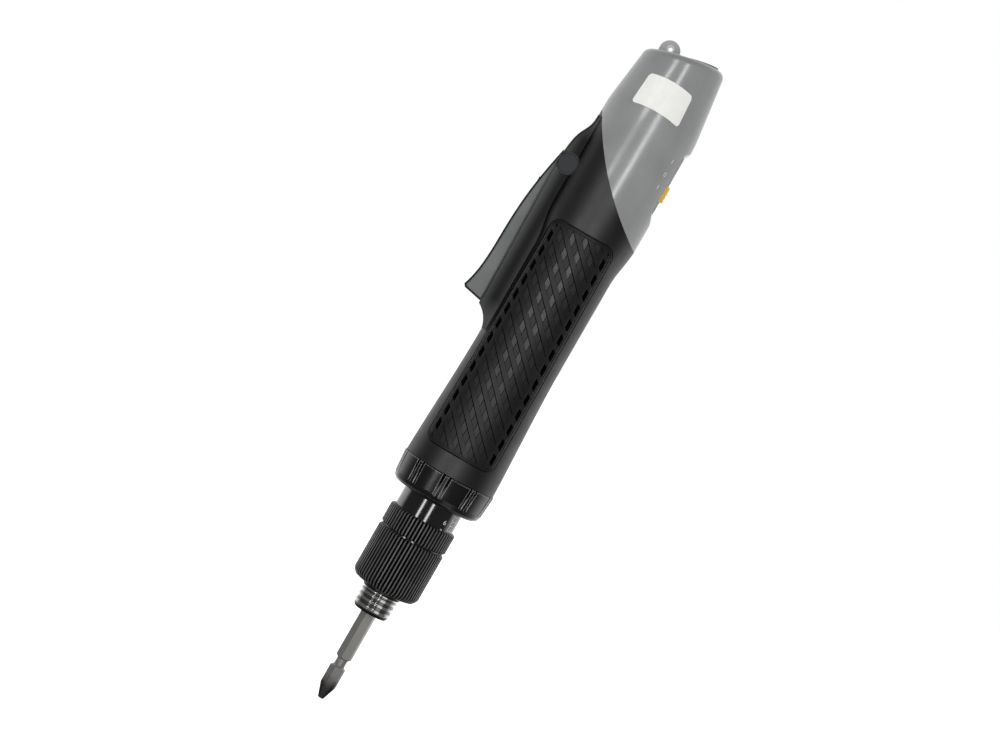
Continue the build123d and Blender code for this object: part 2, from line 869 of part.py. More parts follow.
def below_joint(shift, mode):
    """Everything below the curved joint between the body and the rear cover."""
    z = body_front + shift
    with BuildSketch(Plane.XZ) as outline:
        with BuildLine():
            joint = ThreePointArc(
                (-body_rear_radius, z + joint_high), (0, z + joint_middle), (body_rear_radius, z + joint_low)
            )
            Polyline(joint @ 0, (-60, z + joint_high), (-60, 0), (60, 0), (60, z + joint_low), joint @ 1)
        make_face()
    extrude(outline.sketch, amount=60, both=True, mode=mode)


def pad_outline(side, grow):
    """Space of a grip pad on one side, from the axis outwards."""
    z = body_front
    with BuildSketch(Plane.XZ) as outline:
        with BuildLine():
            Polyline(
                (-pad_low_half - grow, z + pad_low - grow),
                (pad_low_half + grow, z + pad_low - grow),
                (pad_high_half + grow, z + pad_high + grow),
                (-pad_high_half - grow, z + pad_high + grow),
                close=True,
            )
        make_face()
        fillet(outline.vertices(), pad_corner)
    extrude(outline.sketch, amount=-side * 30)


def pad(side):
    """A curved rubber pad with a row of slanted slots along both edges."""
    pad_outline(side, 0)
    revolve(body_outline(pad_proud), axis=Axis.Z, mode=Mode.INTERSECT)
    revolve(body_outline(-pad_depth), axis=Axis.Z, mode=Mode.SUBTRACT)
    slot_middle = body_front + (pad_low + pad_high) / 2
    places = []
    for number in range(pad_slots):
        z = slot_middle + (number - (pad_slots - 1) / 2) * pad_slot_pitch
        share = (z - body_front - pad_low) / (pad_high - pad_low)
        x = pad_low_half + (pad_high_half - pad_low_half) * share - pad_slot_inset
        places += [(x, z), (-x, z)]
    with BuildSketch(Plane.XZ) as slots:
        with Locations(*places):
            Rectangle(*pad_slot_size)
    extrude(slots.sketch, amount=-side * 30, mode=Mode.SUBTRACT)


for side, name in ((FRONT, "grip_pad_front"), (BACK, "grip_pad_back")):
    with BuildPart() as grip_pad:
        pad(side)
    save(grip_pad, name)

# Places of the screws that hold the shells together, and of those that hold the cover
shell_screw_places = ((0, motor_rear + 6.0), (0, body_front + joint_low + 0.5))
cover_screw_places = tuple((x, body_front + joint_height(x) + tongue_reach * 0.62) for x in (-8.0, 8.0))
lever_slot = [
    (slot_floor, pivot[1] + slot_low),
    (2 * slot_floor, pivot[1] + slot_low),
    (2 * slot_floor, pivot[1] + slot_high),
    (slot_floor, pivot[1] + slot_high),
]


def cover_seat(x):
    """How far from the middle plane the head of a cover screw sits."""
    return sqrt(body_rear_radius**2 - x**2) - cover_screw_sink


def pad_pocket(side):
    """Space that a pad and its fit take out of the body."""
    with BuildPart() as pocket:
        pad_outline(side, fit)
        revolve(body_outline(-pad_depth - fit), axis=Axis.Z, mode=Mode.SUBTRACT)
    return pocket.part


def half_space(side, mode=Mode.INTERSECT):
    """Everything on one side of the middle plane."""
    block((-60, 60), (0, 60) if side == BACK else (-60, 0), (0, 400), mode)


# Tongue inside the joint, over which the rear cover slides
with BuildPart() as tongue_root:
    ring(cavity_radius - tongue_wall, cavity_radius + 0.5, body_front + 90, body_front + 190)
    below_joint(0, Mode.INTERSECT)
with BuildPart() as tongue:
    ring(cavity_radius - tongue_wall, cavity_radius - fit, body_front + 90, body_front + 190)
    below_joint(tongue_reach, Mode.INTERSECT)
    add(tongue_root.part)
    below_joint(-tongue_reach, Mode.SUBTRACT)


def shell(side):
    """One half of the black body with its neck, bosses and the tongue that the cover slides over."""
    add(body_form.part)
    ring(0, flange_radius + fit, neck_front, body_front + 0.5)
    add(cavity_form.part, mode=Mode.SUBTRACT)
    below_joint(0, Mode.INTERSECT)
    add(tongue.part)
    for x, z in shell_screw_places:
        rod(x, z, boss_radius, 1.5 - body_waist_radius, body_waist_radius - 1.5)
    slab(lever_slot, slot_half, Mode.SUBTRACT)
    rod(*pivot, lever_pin_radius + 0.02, -saddle_half - 1, saddle_half + 1, Mode.SUBTRACT)
    for low, high in ((saddle_half - cap_thickness - 0.1, 20), (-20, -saddle_half + cap_thickness + 0.1)):
        rod(*pivot, cap_radius + fit, low, high, Mode.SUBTRACT)
    with Locations(Plane(origin=(slot_floor, 0, pivot[1] - plunger_drop), z_dir=(1, 0, 0))):
        Cylinder(plunger_radius + fit, 8, mode=Mode.SUBTRACT)
    add(pad_pocket(side), mode=Mode.SUBTRACT)
    half_space(side)
    for x, z in shell_screw_places:
        rod(x, z, screw_radius + 0.05, -10, 17.6, Mode.SUBTRACT)
        rod(x, z, screw_head + 0.1, screw_seat, 30, Mode.SUBTRACT)
    for x, z in cover_screw_places:
        rod(x, z, screw_radius, 5, 30, Mode.SUBTRACT)


for side, name in ((FRONT, "grip_shell_front"), (BACK, "grip_shell_back")):
    with BuildPart() as grip_shell:
        shell(side)
    save(grip_shell, name)

# Grey rear cover with the switch recess, the inlet hole and the slot of the hanger tab
inlet_plane = Plane(
    origin=rear_plane.origin + rear_plane.x_dir * (inlet_x / cos(radians(rear_slant))),
    z_dir=rear_plane.z_dir,
)
knob_slot = (knob_low + knob_slot_margin, knob_low + knob_height - knob_slot_margin + knob_travel)
with BuildPart() as rear_cover:
    add(body_form.part)
    add(cavity_form.part, mode=Mode.SUBTRACT)
    below_joint(0, Mode.SUBTRACT)
    slab(
        [
            (2 * body_rear_radius, body_front + recess_low),
            (body_rear_radius, body_front + recess_low),
            (recess_floor, body_front + recess_low + recess_ramp),
            (recess_floor, body_front + recess_high - recess_rise),
            (body_rear_radius, body_front + recess_high),
            (2 * body_rear_radius, body_front + recess_high),
        ],
        recess_half,
        Mode.SUBTRACT,
    )
    block(
        (10, 30),
        (-knob_stem_half - 0.15, knob_stem_half + 0.15),
        (body_front + knob_slot[0] - 0.15, body_front + knob_slot[1] + 0.15),
        Mode.SUBTRACT,
    )
    with BuildSketch(inlet_plane.offset(-wall - 1)):
        Circle(inlet_radius + inlet_wall + fit)
    extrude(amount=wall + 5, mode=Mode.SUBTRACT)
    block(
        (tab_x - tab_width / 2 - fit, tab_x + tab_width / 2 + fit),
        (-tab_thickness / 2 - fit, tab_thickness / 2 + fit),
        (body_front + rear_middle - 8, body_front + rear_middle + 20),
        Mode.SUBTRACT,
    )
    for x, z in cover_screw_places:
        rod(x, z, screw_radius + 0.05, 5, 30, Mode.SUBTRACT)
        rod(x, z, screw_head + 0.1, cover_seat(x), 30, Mode.SUBTRACT)
save(rear_cover, "rear_cover")


def screw(x, z, low, seat, radius):
    """A pan screw along Y with a cross recess in its head."""
    rod(x, z, radius, low, seat + 0.5)
    rod(x, z, screw_head, seat + 0.02, seat + screw_head_height)
    with Locations((x, seat + screw_head_height - 0.2, z)):
        Box(screw_head + 0.1, 1.0, 0.6, mode=Mode.SUBTRACT)
        Box(0.6, 1.0, screw_head + 0.1, mode=Mode.SUBTRACT)


with BuildPart() as shell_screws:
    for x, z in shell_screw_places:
        screw(x, z, -9.5, screw_seat, screw_radius)
save(shell_screws, "shell_screws")

with BuildPart() as cover_screws:
    for x, z in cover_screw_places:
        tongue_inside = sqrt((cavity_radius - tongue_wall) ** 2 - x**2)
        screw(x, z, tongue_inside, cover_seat(x), screw_radius - 0.02)
save(cover_screws, "cover_screws")

# Start lever: a channel whose web curves away from the body towards its free end
with BuildPart() as start_lever:
    with BuildSketch(Plane.XZ) as lever_side:
        with BuildLine():
            back = Spline(*[from_pivot(*place) for place in lever_back])
            neck = from_pivot(*lever_neck)
            crown = from_pivot(0.3, lever_eye)
            Polyline(back @ 1, *[from_pivot(*place) for place in lever_toe], neck)
            TangentArc(neck, crown, tangent=(0.05, 1))
            Line(crown, back @ 0)
        make_face()
    extrude(lever_side.sketch, amount=lever_half, both=True)
    long_edges = start_lever.edges().filter_by(Axis.Y, reverse=True)
    fillet(long_edges.filter_by(lambda edge: edge.center().X < pivot[0] - 5.5), lever_round)
    with BuildSketch(Plane.XZ) as channel:
        with BuildLine():
            ends = [(lever_back[0][0], slot_high + 0.3), (lever_back[-2][0] + 0.7, channel_low)]
            web = [ends[0], *lever_back[1:-2], ends[1]]
            inner = Spline(*[from_pivot(out + lever_web, along) for out, along in web])
            Polyline(
                inner @ 1,
                (pivot[0] + saddle_root + 2, pivot[1] + channel_low),
                (pivot[0] + saddle_root + 2, pivot[1] + slot_high + 0.3),
                inner @ 0,
            )
        make_face()
    extrude(channel.sketch, amount=lever_half - lever_wall, both=True, mode=Mode.SUBTRACT)
    nub_face = slot_floor - plunger_radius - plunger_gap
    block(
        (nub_face - 8.4, nub_face),
        (-2, 2),
        (pivot[1] - plunger_drop - 1.5, pivot[1] - plunger_drop + 1.5),
    )
    rod(*pivot, lever_pin_radius + fit, -20, 20, Mode.SUBTRACT)
save(start_lever, "start_lever")

with BuildPart() as lever_pin:
    rod(*pivot, lever_pin_radius, -saddle_half + cap_thickness + 0.15, saddle_half - cap_thickness - 0.15)
save(lever_pin, "lever_pin")

# Dished caps over both ends of the pin
with BuildPart() as pivot_caps:
    for side in (FRONT, BACK):
        low, high = sorted((side * (saddle_half - cap_thickness), side * saddle_half))
        rod(*pivot, cap_radius, low, high)
        low, high = sorted((side * (saddle_half - 0.35), side * (saddle_half + 1)))
        rod(*pivot, cap_radius - 0.8, low, high, Mode.SUBTRACT)
    add(saddle_form.part, mode=Mode.INTERSECT)
save(pivot_caps, "pivot_caps")

# Torsion spring round the pin, inside the lever's channel
with BuildPart() as lever_spring:
    spring_start = Vector(pivot[0], -2.25, pivot[1])
    spring_path = Helix(0.75, 4.5, lever_pin_radius + 0.55, spring_start, direction=(0, 1, 0))
    wire_plane = Plane(origin=spring_path @ 0, x_dir=(spring_path @ 0) - spring_start, z_dir=spring_path % 0)
    with BuildSketch(wire_plane) as wire:
        Rectangle(0.55, 0.55)
    sweep(wire.sketch, path=spring_path, is_frenet=True)
save(lever_spring, "lever_spring")

# Start plunger and its switch
plunger_z = pivot[1] - plunger_drop
with BuildPart() as start_plunger:
    head = nub_face + 0.05
    with BuildSketch(Plane.XZ) as plunger_side:
        with BuildLine():
            ThreePointArc(
                (head, plunger_z),
                (head + plunger_radius * (1 - cos(pi / 4)), plunger_z + plunger_radius * sin(pi / 4)),
                (head + plunger_radius, plunger_z + plunger_radius),
            )
            Polyline(
                (head + plunger_radius, plunger_z + plunger_radius),
                (1.8 - switch_face, plunger_z + plunger_radius),
                (1.8 - switch_face, plunger_z),
                (head, plunger_z),
            )
        make_face()
    revolve(plunger_side.sketch, axis=Axis((0, 0, plunger_z), (1, 0, 0)))
save(start_plunger, "start_plunger")

with BuildPart() as start_switch:
    block(
        (-switch_face, -switch_face + switch_size[0]),
        (-switch_size[1] / 2, switch_size[1] / 2),
        (plunger_z - switch_size[2] / 2, plunger_z + switch_size[2] / 2),
    )
    with Locations(Plane(origin=(1.5 - switch_face, 0, plunger_z), z_dir=(1, 0, 0))):
        Cylinder(plunger_radius + fit, 4.0, mode=Mode.SUBTRACT)
save(start_switch, "start_switch")

# Direction knob and its switch
with BuildPart() as direction_knob:
    z = body_front + knob_low
    block((recess_floor + 0.05, knob_top), (-knob_half, knob_half), (z, z + knob_height))
    chamfer(direction_knob.faces().sort_by(Axis.X)[-1].edges(), knob_chamfer)
    mouth = knob_top + 0.2
    for number in range(knob_grooves):
        groove = z + (number + 1) * knob_height / (knob_grooves + 1)
        slab(
            [(knob_top - knob_groove, groove), (mouth, groove - 0.4), (mouth, groove + 0.4)],
            2 * knob_half,
            Mode.SUBTRACT,
        )
    stem = (z + knob_slot_margin, z + knob_height - knob_slot_margin)
    block((switch_face - 2, recess_floor + 0.2), (-knob_stem_half, knob_stem_half), stem)
save(direction_knob, "direction_knob")

with BuildPart() as direction_switch:
    middle = body_front + (knob_slot[0] + knob_slot[1]) / 2
    block(
        (switch_face - direction_size[0], switch_face),
        (-direction_size[1] / 2, direction_size[1] / 2),
        (middle - direction_size[2] / 2, middle + direction_size[2] / 2),
    )
    block(
        (switch_face - 2.2, body_rear_radius),
        (-knob_stem_half - 0.15, knob_stem_half + 0.15),
        (body_front + knob_slot[0] - 0.15, body_front + knob_slot[1] + 0.15),
        Mode.SUBTRACT,
    )
save(direction_switch, "direction_switch")

# Control board, held at its edges by the tongues of the shells
board_half = cavity_radius - board_margin
board_low, board_high = body_front + board_length[0], body_front + board_length[1]
with BuildPart() as control_board:
    block((-board_half, board_half), (board_place, board_place + board_thickness), (board_low, board_high))
    block((-6, 2), (board_place - 2, board_place), (board_low + 11, board_low + 19))
    block((-9, -3), (board_place - 3.2, board_place), (board_high - 17, board_high - 5))
save(control_board, "control_board")

# Power inlet in the slanted rear face
with BuildPart() as inlet_shell:
    with BuildSketch(inlet_plane.offset(-inlet_depth)):
        Circle(inlet_radius + inlet_wall)
    extrude(amount=inlet_depth + 0.5)
    with BuildSketch(inlet_plane.offset(0.02)):
        Circle(inlet_flange)
    extrude(amount=0.8)
    with BuildSketch(inlet_plane.offset(-inlet_depth)):
        Circle(inlet_radius - inlet_step)
    extrude(amount=inlet_depth, mode=Mode.SUBTRACT)
    with BuildSketch(inlet_plane.offset(-inlet_open)):
        Circle(inlet_radius)
    extrude(amount=inlet_open + 2, mode=Mode.SUBTRACT)
save(inlet_shell, "inlet_shell")

with BuildPart() as inlet_insulator:
    with BuildSketch(inlet_plane.offset(-inlet_depth)):
        Circle(inlet_radius - inlet_step - fit)
        with PolarLocations(contact_circle, contact_count):
            Circle(contact_radius, mode=Mode.SUBTRACT)
    extrude(amount=inlet_depth - inlet_open)
save(inlet_insulator, "inlet_insulator")

with BuildPart() as inlet_contacts:
    with BuildSketch(inlet_plane.offset(-inlet_depth - 2)):
        with PolarLocations(contact_circle, contact_count):
            Circle(contact_radius - 0.02)
    extrude(amount=inlet_depth - inlet_open + 2)
    with BuildSketch(inlet_plane.offset(-inlet_depth + 1)):
        with PolarLocations(contact_circle, contact_count):
            Circle(contact_radius / 2)
    extrude(amount=inlet_depth, mode=Mode.SUBTRACT)
save(inlet_contacts, "inlet_contacts")

# Hanger tab with its bright eyelet
eye_z = body_front + tab_top - eye_drop
with BuildPart() as hanger_tab:
    with BuildSketch(Plane.XZ) as tab_side:
        with BuildLine():
            left, right = tab_x - tab_width / 2, tab_x + tab_width / 2
            top = body_front + tab_top
            low = body_front + rear_middle - 5.5
            Polyline((left, top - tab_round), (left, low), (right, low), (right, top - tab_round))
            Spline(
                (right, top - tab_round),
                (tab_x, top),
                (left, top - tab_round),
                tangents=((0, 1), (0, -1)),
            )
        make_face()
        with Locations((tab_x, eye_z)):
            Circle(eye_radius - 0.4, mode=Mode.SUBTRACT)
    extrude(tab_side.sketch, amount=tab_thickness / 2, both=True)
save(hanger_tab, "hanger_tab")

with BuildPart() as hanger_eyelet:
    rod(tab_x, eye_z, eye_radius - 0.42, -tab_thickness / 2 - 0.3, tab_thickness / 2 + 0.3)
    for low in (-tab_thickness / 2 - 0.35, tab_thickness / 2 + 0.02):
        rod(tab_x, eye_z, eye_radius, low, low + 0.33)
    rod(tab_x, eye_z, eye_bore, -5, 5, Mode.SUBTRACT)
save(hanger_eyelet, "hanger_eyelet")
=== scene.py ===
import json
import math

import bpy
import numpy as np
from mathutils import Matrix, Vector
from mathutils.bvhtree import BVHTree

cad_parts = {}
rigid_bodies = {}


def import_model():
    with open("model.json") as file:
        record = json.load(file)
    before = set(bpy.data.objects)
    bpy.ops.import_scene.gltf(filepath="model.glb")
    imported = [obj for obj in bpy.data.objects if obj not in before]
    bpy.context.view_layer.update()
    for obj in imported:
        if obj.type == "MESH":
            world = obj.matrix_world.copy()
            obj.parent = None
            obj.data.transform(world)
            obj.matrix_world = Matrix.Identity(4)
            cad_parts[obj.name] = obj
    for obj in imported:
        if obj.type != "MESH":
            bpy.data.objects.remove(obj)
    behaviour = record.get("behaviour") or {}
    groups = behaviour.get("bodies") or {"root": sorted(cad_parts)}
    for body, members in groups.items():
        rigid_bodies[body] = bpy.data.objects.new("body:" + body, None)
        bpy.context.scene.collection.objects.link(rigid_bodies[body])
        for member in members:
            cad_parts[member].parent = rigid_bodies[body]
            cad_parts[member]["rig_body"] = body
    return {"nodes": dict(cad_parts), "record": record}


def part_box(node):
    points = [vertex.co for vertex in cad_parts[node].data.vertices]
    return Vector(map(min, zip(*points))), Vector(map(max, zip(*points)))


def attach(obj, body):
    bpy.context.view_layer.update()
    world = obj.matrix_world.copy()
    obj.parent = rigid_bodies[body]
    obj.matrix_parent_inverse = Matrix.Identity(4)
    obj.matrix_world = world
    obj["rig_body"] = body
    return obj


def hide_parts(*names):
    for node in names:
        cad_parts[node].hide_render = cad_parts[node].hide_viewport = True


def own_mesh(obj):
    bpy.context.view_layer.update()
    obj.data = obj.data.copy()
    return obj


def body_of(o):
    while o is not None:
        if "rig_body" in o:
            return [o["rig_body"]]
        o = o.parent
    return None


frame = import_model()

# Sizes are in metres and in the frame of the CAD model: Z up the drive axis from the bit's tip,
# -Y towards the label, -X towards the lever and +X towards the direction switch.
nodes = frame["nodes"]
scene = bpy.context.scene
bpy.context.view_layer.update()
slot_of = {part["node"]: part["material_slot"] for part in frame["record"]["subparts"]}
MM = 0.001


def linear(*levels):
    """A colour from its screen levels, 0 to 255, in the renderer's linear values. One level gives a grey."""
    out = []
    for level in levels:
        c = level / 255
        out.append(c / 12.92 if c <= 0.04045 else ((c + 0.055) / 1.055) ** 2.4)
    if len(out) == 1:
        out = out * 3
    return (*out, 1.0)


class Nodes:
    """A tree of shader nodes that grows by calls."""

    def __init__(self, tree):
        self.tree = tree

    def add(self, kind, **settings):
        node = self.tree.nodes.new(kind)
        for key, value in settings.items():
            setattr(node, key, value)
        return node

    def join(self, source, target):
        """Set a socket to a number or a colour, or link an output to it."""
        if isinstance(source, (int, float, tuple)):
            target.default_value = source
        else:
            self.tree.links.new(source, target)

    def calc(self, operation, one, two=0.0):
        node = self.add("ShaderNodeMath", operation=operation)
        self.join(one, node.inputs[0])
        self.join(two, node.inputs[1])
        return node.outputs[0]

    def product(self, first, *others):
        for other in others:
            first = self.calc("MULTIPLY", first, other)
        return first

    def most(self, first, *others):
        for other in others:
            first = self.calc("MAXIMUM", first, other)
        return first

    def apart(self, one, two):
        """How far two numbers are apart."""
        return self.calc("ABSOLUTE", self.calc("SUBTRACT", one, two))

    def span(self, source, low, high, to_low=0.0, to_high=1.0):
        """A number that goes from to_low to to_high while the source goes from low to high."""
        node = self.add("ShaderNodeMapRange")
        for key, value in (("From Min", low), ("From Max", high), ("To Min", to_low), ("To Max", to_high)):
            node.inputs[key].default_value = value
        self.join(source, node.inputs["Value"])
        return node.outputs["Result"]

    def mix(self, share, one, two, kind="RGBA"):
        node = self.add("ShaderNodeMix", data_type=kind)
        for key, source in (("Factor", share), ("A", one), ("B", two)):
            self.join(source, node.inputs[key])
        return node.outputs["Result"]

    def axis(self, vector, name):
        node = self.add("ShaderNodeSeparateXYZ")
        self.join(vector, node.inputs[0])
        return node.outputs[name]


class Finish(Nodes):
    """A material built on one Principled shader."""

    # Most of a noise lies between these values
    NOISE_LOW, NOISE_HIGH = 0.3, 0.7

    def __init__(self, name, roughness=0.5, metallic=0.0, ior=1.5, specular=0.5):
        self.material = bpy.data.materials.new(name)
        self.material.use_nodes = True
        super().__init__(self.material.node_tree)
        self.shader = self.tree.nodes["Principled BSDF"]
        self.shader.inputs["Roughness"].default_value = roughness
        self.shader.inputs["Metallic"].default_value = metallic
        self.shader.inputs["IOR"].default_value = ior
        self.shader.inputs["Specular IOR Level"].default_value = specular
        self.place = self.add("ShaderNodeTexCoord").outputs["Object"]

    def noise(self, scale, detail=3.0, rough=0.55, place=None):
        node = self.add("ShaderNodeTexNoise")
        node.inputs["Scale"].default_value = scale
        node.inputs["Detail"].default_value = detail
        node.inputs["Roughness"].default_value = rough
        self.join(place or self.place, node.inputs["Vector"])
        return node.outputs["Fac"]

    def clouds(self, scale, place=None):
        """Soft noise for faint changes of tone."""
        return self.noise(scale, 4, 0.6, place)

    def patches(self, scale):
        """Broken noise for scuffed spots."""
        return self.noise(scale, 5, 0.65)

    def grain(self, scale):
        """Even noise for the texture of a mould or a coat."""
        return self.noise(scale, 2, 0.5)

    def brush(self, across, along):
        """Fine marks, closer across the drive axis than along it, or the other way round."""
        return self.noise(1, 3, 0.6, self.stretch(across, across, along))

    def stretch(self, x, y, z):
        """The object's own coordinates, scaled along each axis."""
        node = self.add("ShaderNodeMapping")
        node.inputs["Scale"].default_value = (x, y, z)
        self.join(self.place, node.inputs["Vector"])
        return node.outputs["Vector"]

    def tones(self, noise, dark, light, low=0.35, high=0.68):
        """A colour that goes from dark to light while a noise goes from low to high."""
        node = self.add("ShaderNodeValToRGB")
        for mark, place, colour in zip(node.color_ramp.elements, (low, high), (dark, light)):
            mark.position = place
            mark.color = colour
        self.join(noise, node.inputs["Fac"])
        return node.outputs["Color"]

    def broad_tones(self, noise, dark, light):
        """Tones with a softer change."""
        return self.tones(noise, dark, light, self.NOISE_LOW, self.NOISE_HIGH)

    def drift(self, noise, low, high):
        """A number that drifts between low and high with a noise."""
        return self.span(noise, self.NOISE_LOW, self.NOISE_HIGH, low, high)

    def from_axis(self):
        """Distance of each point from the drive axis."""
        x, y = self.axis(self.place, "X"), self.axis(self.place, "Y")
        return self.calc("SQRT", self.calc("ADD", self.product(x, x), self.product(y, y)))

    def bevelled(self, radius, samples):
        """The direction of the surface as if its edges were rounded."""
        node = self.add("ShaderNodeBevel", samples=samples)
        node.inputs["Radius"].default_value = radius
        return node.outputs["Normal"]

    def edges(self, radius):
        """1 along sharp edges, 0 on the faces between them."""
        likeness = self.add("ShaderNodeVectorMath", operation="DOT_PRODUCT")
        self.join(self.bevelled(radius, 6), likeness.inputs[0])
        self.join(self.add("ShaderNodeNewGeometry").outputs["Normal"], likeness.inputs[1])
        return self.span(likeness.outputs["Value"], 0.8, 0.985, 1.0, 0.0)

    def attribute(self, name):
        return self.add("ShaderNodeAttribute", attribute_name=name).outputs["Fac"]

    def base(self):
        """What the base colour is linked to."""
        return self.shader.inputs["Base Color"].links[0].from_socket

    def colour(self, source):
        self.join(source, self.shader.inputs["Base Color"])

    def rough(self, source):
        self.join(source, self.shader.inputs["Roughness"])

    def specular(self, source):
        self.join(source, self.shader.inputs["Specular IOR Level"])

    def bump(self, height, depth, strength=1.0, edge=0.0):
        """Relief of a depth in metres, over edges that are softened by a radius."""
        node = self.add("ShaderNodeBump")
        node.inputs["Strength"].default_value = strength
        node.inputs["Distance"].default_value = depth
        self.join(height, node.inputs["Height"])
        if edge:
            self.join(self.bevelled(edge, 4), node.inputs["Normal"])
        self.join(node.outputs["Normal"], self.shader.inputs["Normal"])


def moulded(name, dark, light, roughness, grain=0.02 * MM, grain_scale=2600, edge=0.0, spread=0.06, ior=1.5):
    """Moulded plastic with a fine grain, faint clouding and scuffed spots."""
    f = Finish(name, roughness, ior=ior)
    f.colour(f.tones(f.clouds(55), dark, light))
    f.rough(f.drift(f.patches(130), roughness - spread, roughness + spread))
    f.bump(f.grain(grain_scale), grain, 0.6, edge)
    return f


def machined(name, dark, light, roughness, metallic=1.0, rings=None, depth=0.01 * MM, edge=0.0, ior=1.5):
    """Metal with the fine marks of its making: rings round the axis, or a fine random brush."""
    f = Finish(name, roughness, metallic, ior)
    smear = f.clouds(90, f.stretch(1, 1, 0.25))
    f.colour(f.broad_tones(smear, dark, light))
    marks = f.brush(6, rings) if rings else f.brush(3200, 160)
    f.rough(f.drift(marks, roughness - 0.06, roughness + 0.1))
    f.bump(marks, depth, 0.5, edge)
    return f


def painted_edge_coat(name, dark, light, painted_shading, roughness, edge, ior=1.5):
    """Dark coating with another tone painted along its edges: a painted highlight where that tone is
    lighter, and painted shade where it is darker.
    """
    f = Finish(name, roughness, ior=ior)
    coat = f.tones(f.clouds(90), dark, light)
    # Painted light along the edges: a lighter tone gives a painted highlight, a darker one painted shade.
    share = f.product(f.edges(edge), f.drift(f.clouds(420), 0.8, 1.0))
    f.colour(f.mix(share, coat, painted_shading))
    f.rough(f.drift(f.clouds(150), roughness - 0.03, roughness + 0.05))
    f.bump(f.grain(1400), 0.003 * MM, 0.4, edge)
    return f


def collar_finish():
    """Polished chrome, with painted shade down in the grooves between its rings."""
    f = machined(
        "collar_chrome", linear(214, 214, 210), linear(236, 236, 233), 0.1,
        rings=5200, depth=0.003 * MM, edge=0.08 * MM,
    )
    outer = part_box("bit_collar")[1].x
    groove_floor, ring_top = outer - 0.5 * MM, outer - 0.12 * MM
    # Painted shade: the groove floors are darkened to a dark grey.
    f.colour(f.mix(f.span(f.from_axis(), groove_floor, ring_top), linear(70), f.base()))
    return f


# Ribs round the torque nut and the lock ring, the first groove at +X
RIB_COUNT = 60
RIB_REACH = 1.9 * MM
CREST_HALF, CREST_END = 0.14, 0.24


def ribbed_finish(node):
    """Black coating of a nut, with a painted highlight of grey on the crests of its ribs and dull black
    between them.
    """
    f = Finish(node + "_black", 0.3)
    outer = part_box(node)[1].x
    turn = f.calc("ARCTAN2", f.axis(f.place, "Y"), f.axis(f.place, "X"))
    pitch_share = f.calc("FRACT", f.product(turn, RIB_COUNT / (2 * math.pi)))
    on_rib = f.span(f.from_axis(), outer - RIB_REACH, outer - RIB_REACH + 0.4 * MM)
    crest = f.product(f.span(f.apart(pitch_share, 0.5), CREST_HALF, CREST_END, 1.0, 0.0), on_rib)
    cloud = f.clouds(90)
    black = f.tones(cloud, linear(3, 3, 4), linear(6, 6, 7))
    # Painted highlight: the grey tone on the crests of the ribs.
    painted_shading = f.tones(cloud, linear(66, 66, 67), linear(88, 88, 89))
    f.colour(f.mix(crest, black, painted_shading))
    f.specular(f.span(f.calc("SUBTRACT", on_rib, crest), 0.0, 1.0, 0.5, 0.06))
    f.rough(f.drift(f.clouds(150), 0.26, 0.34))
    f.bump(f.grain(1400), 0.002 * MM, 0.4)
    return f


def coupling_finish():
    """The black of the coupling nut, with a painted highlight along its edges and painted shade, dull black,
    in the grooves between the ribs.
    """
    # The light tone along the edges, linear(190), is a painted highlight.
    f = painted_edge_coat("coupling_black", linear(7, 7, 8), linear(12, 12, 13), linear(190), 0.22, 0.42 * MM, 1.55)
    low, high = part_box("coupling_nut")
    foot, shoulder = low.z + 2.4 * MM, low.z + 3.6 * MM
    z = f.axis(f.place, "Z")
    skin = f.span(z, shoulder, high.z, high.x - 0.7 * MM, high.x)
    depth = f.span(f.calc("SUBTRACT", skin, f.from_axis()), 0.3 * MM, 0.55 * MM)
    groove = f.product(depth, f.span(z, foot, shoulder))
    f.specular(f.span(groove, 0.0, 1.0, 0.5, 0.02))
    # Painted shade: the grooves are darkened to near black.
    f.colour(f.mix(groove, f.base(), linear(2)))
    return f


# Saddle of the lever on the black shell: its valley, its crease and its rim along X, and its ends
lever_low, lever_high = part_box("start_lever")
SADDLE_LOW, SADDLE_HIGH = lever_low.z - 4 * MM, lever_high.z + 16 * MM
SADDLE_FADE = 8 * MM
SADDLE_VALLEY, SADDLE_CREASE, SADDLE_RIM = -20.0 * MM, -21.5 * MM, -28.0 * MM
VALLEY_CORE, VALLEY_EDGE = 0.8 * MM, 5.5 * MM


def shell_finish():
    """Matte black moulding, with painted shade in the valley beside the saddle and painted light that pales
    it towards the saddle's rim along -X.
    """
    f = Finish("black_shell")
    cloud = f.clouds(55)
    plain = f.tones(cloud, linear(7, 8, 8), linear(12, 13, 13))
    cheek = f.tones(cloud, linear(56, 60, 59), linear(64, 68, 67))
    x, z = f.axis(f.place, "X"), f.axis(f.place, "Z")
    above = f.span(z, SADDLE_LOW, SADDLE_LOW + SADDLE_FADE)
    below = f.span(z, SADDLE_HIGH, SADDLE_HIGH - SADDLE_FADE)
    beside = f.span(f.apart(x, SADDLE_VALLEY), VALLEY_CORE, VALLEY_EDGE, 1.0, 0.0)
    valley = f.product(above, below, beside)
    f.specular(f.span(valley, 0.0, 1.0, 0.8, 0.2))
    # Painted shade darkens the valley; painted light pales the cheek towards the rim.
    f.colour(f.mix(valley, f.mix(f.span(x, SADDLE_CREASE, SADDLE_RIM), plain, cheek), linear(5)))
    f.rough(f.drift(f.patches(130), 0.43, 0.51))
    f.bump(f.grain(2600), 0.02 * MM, 0.6)
    return f


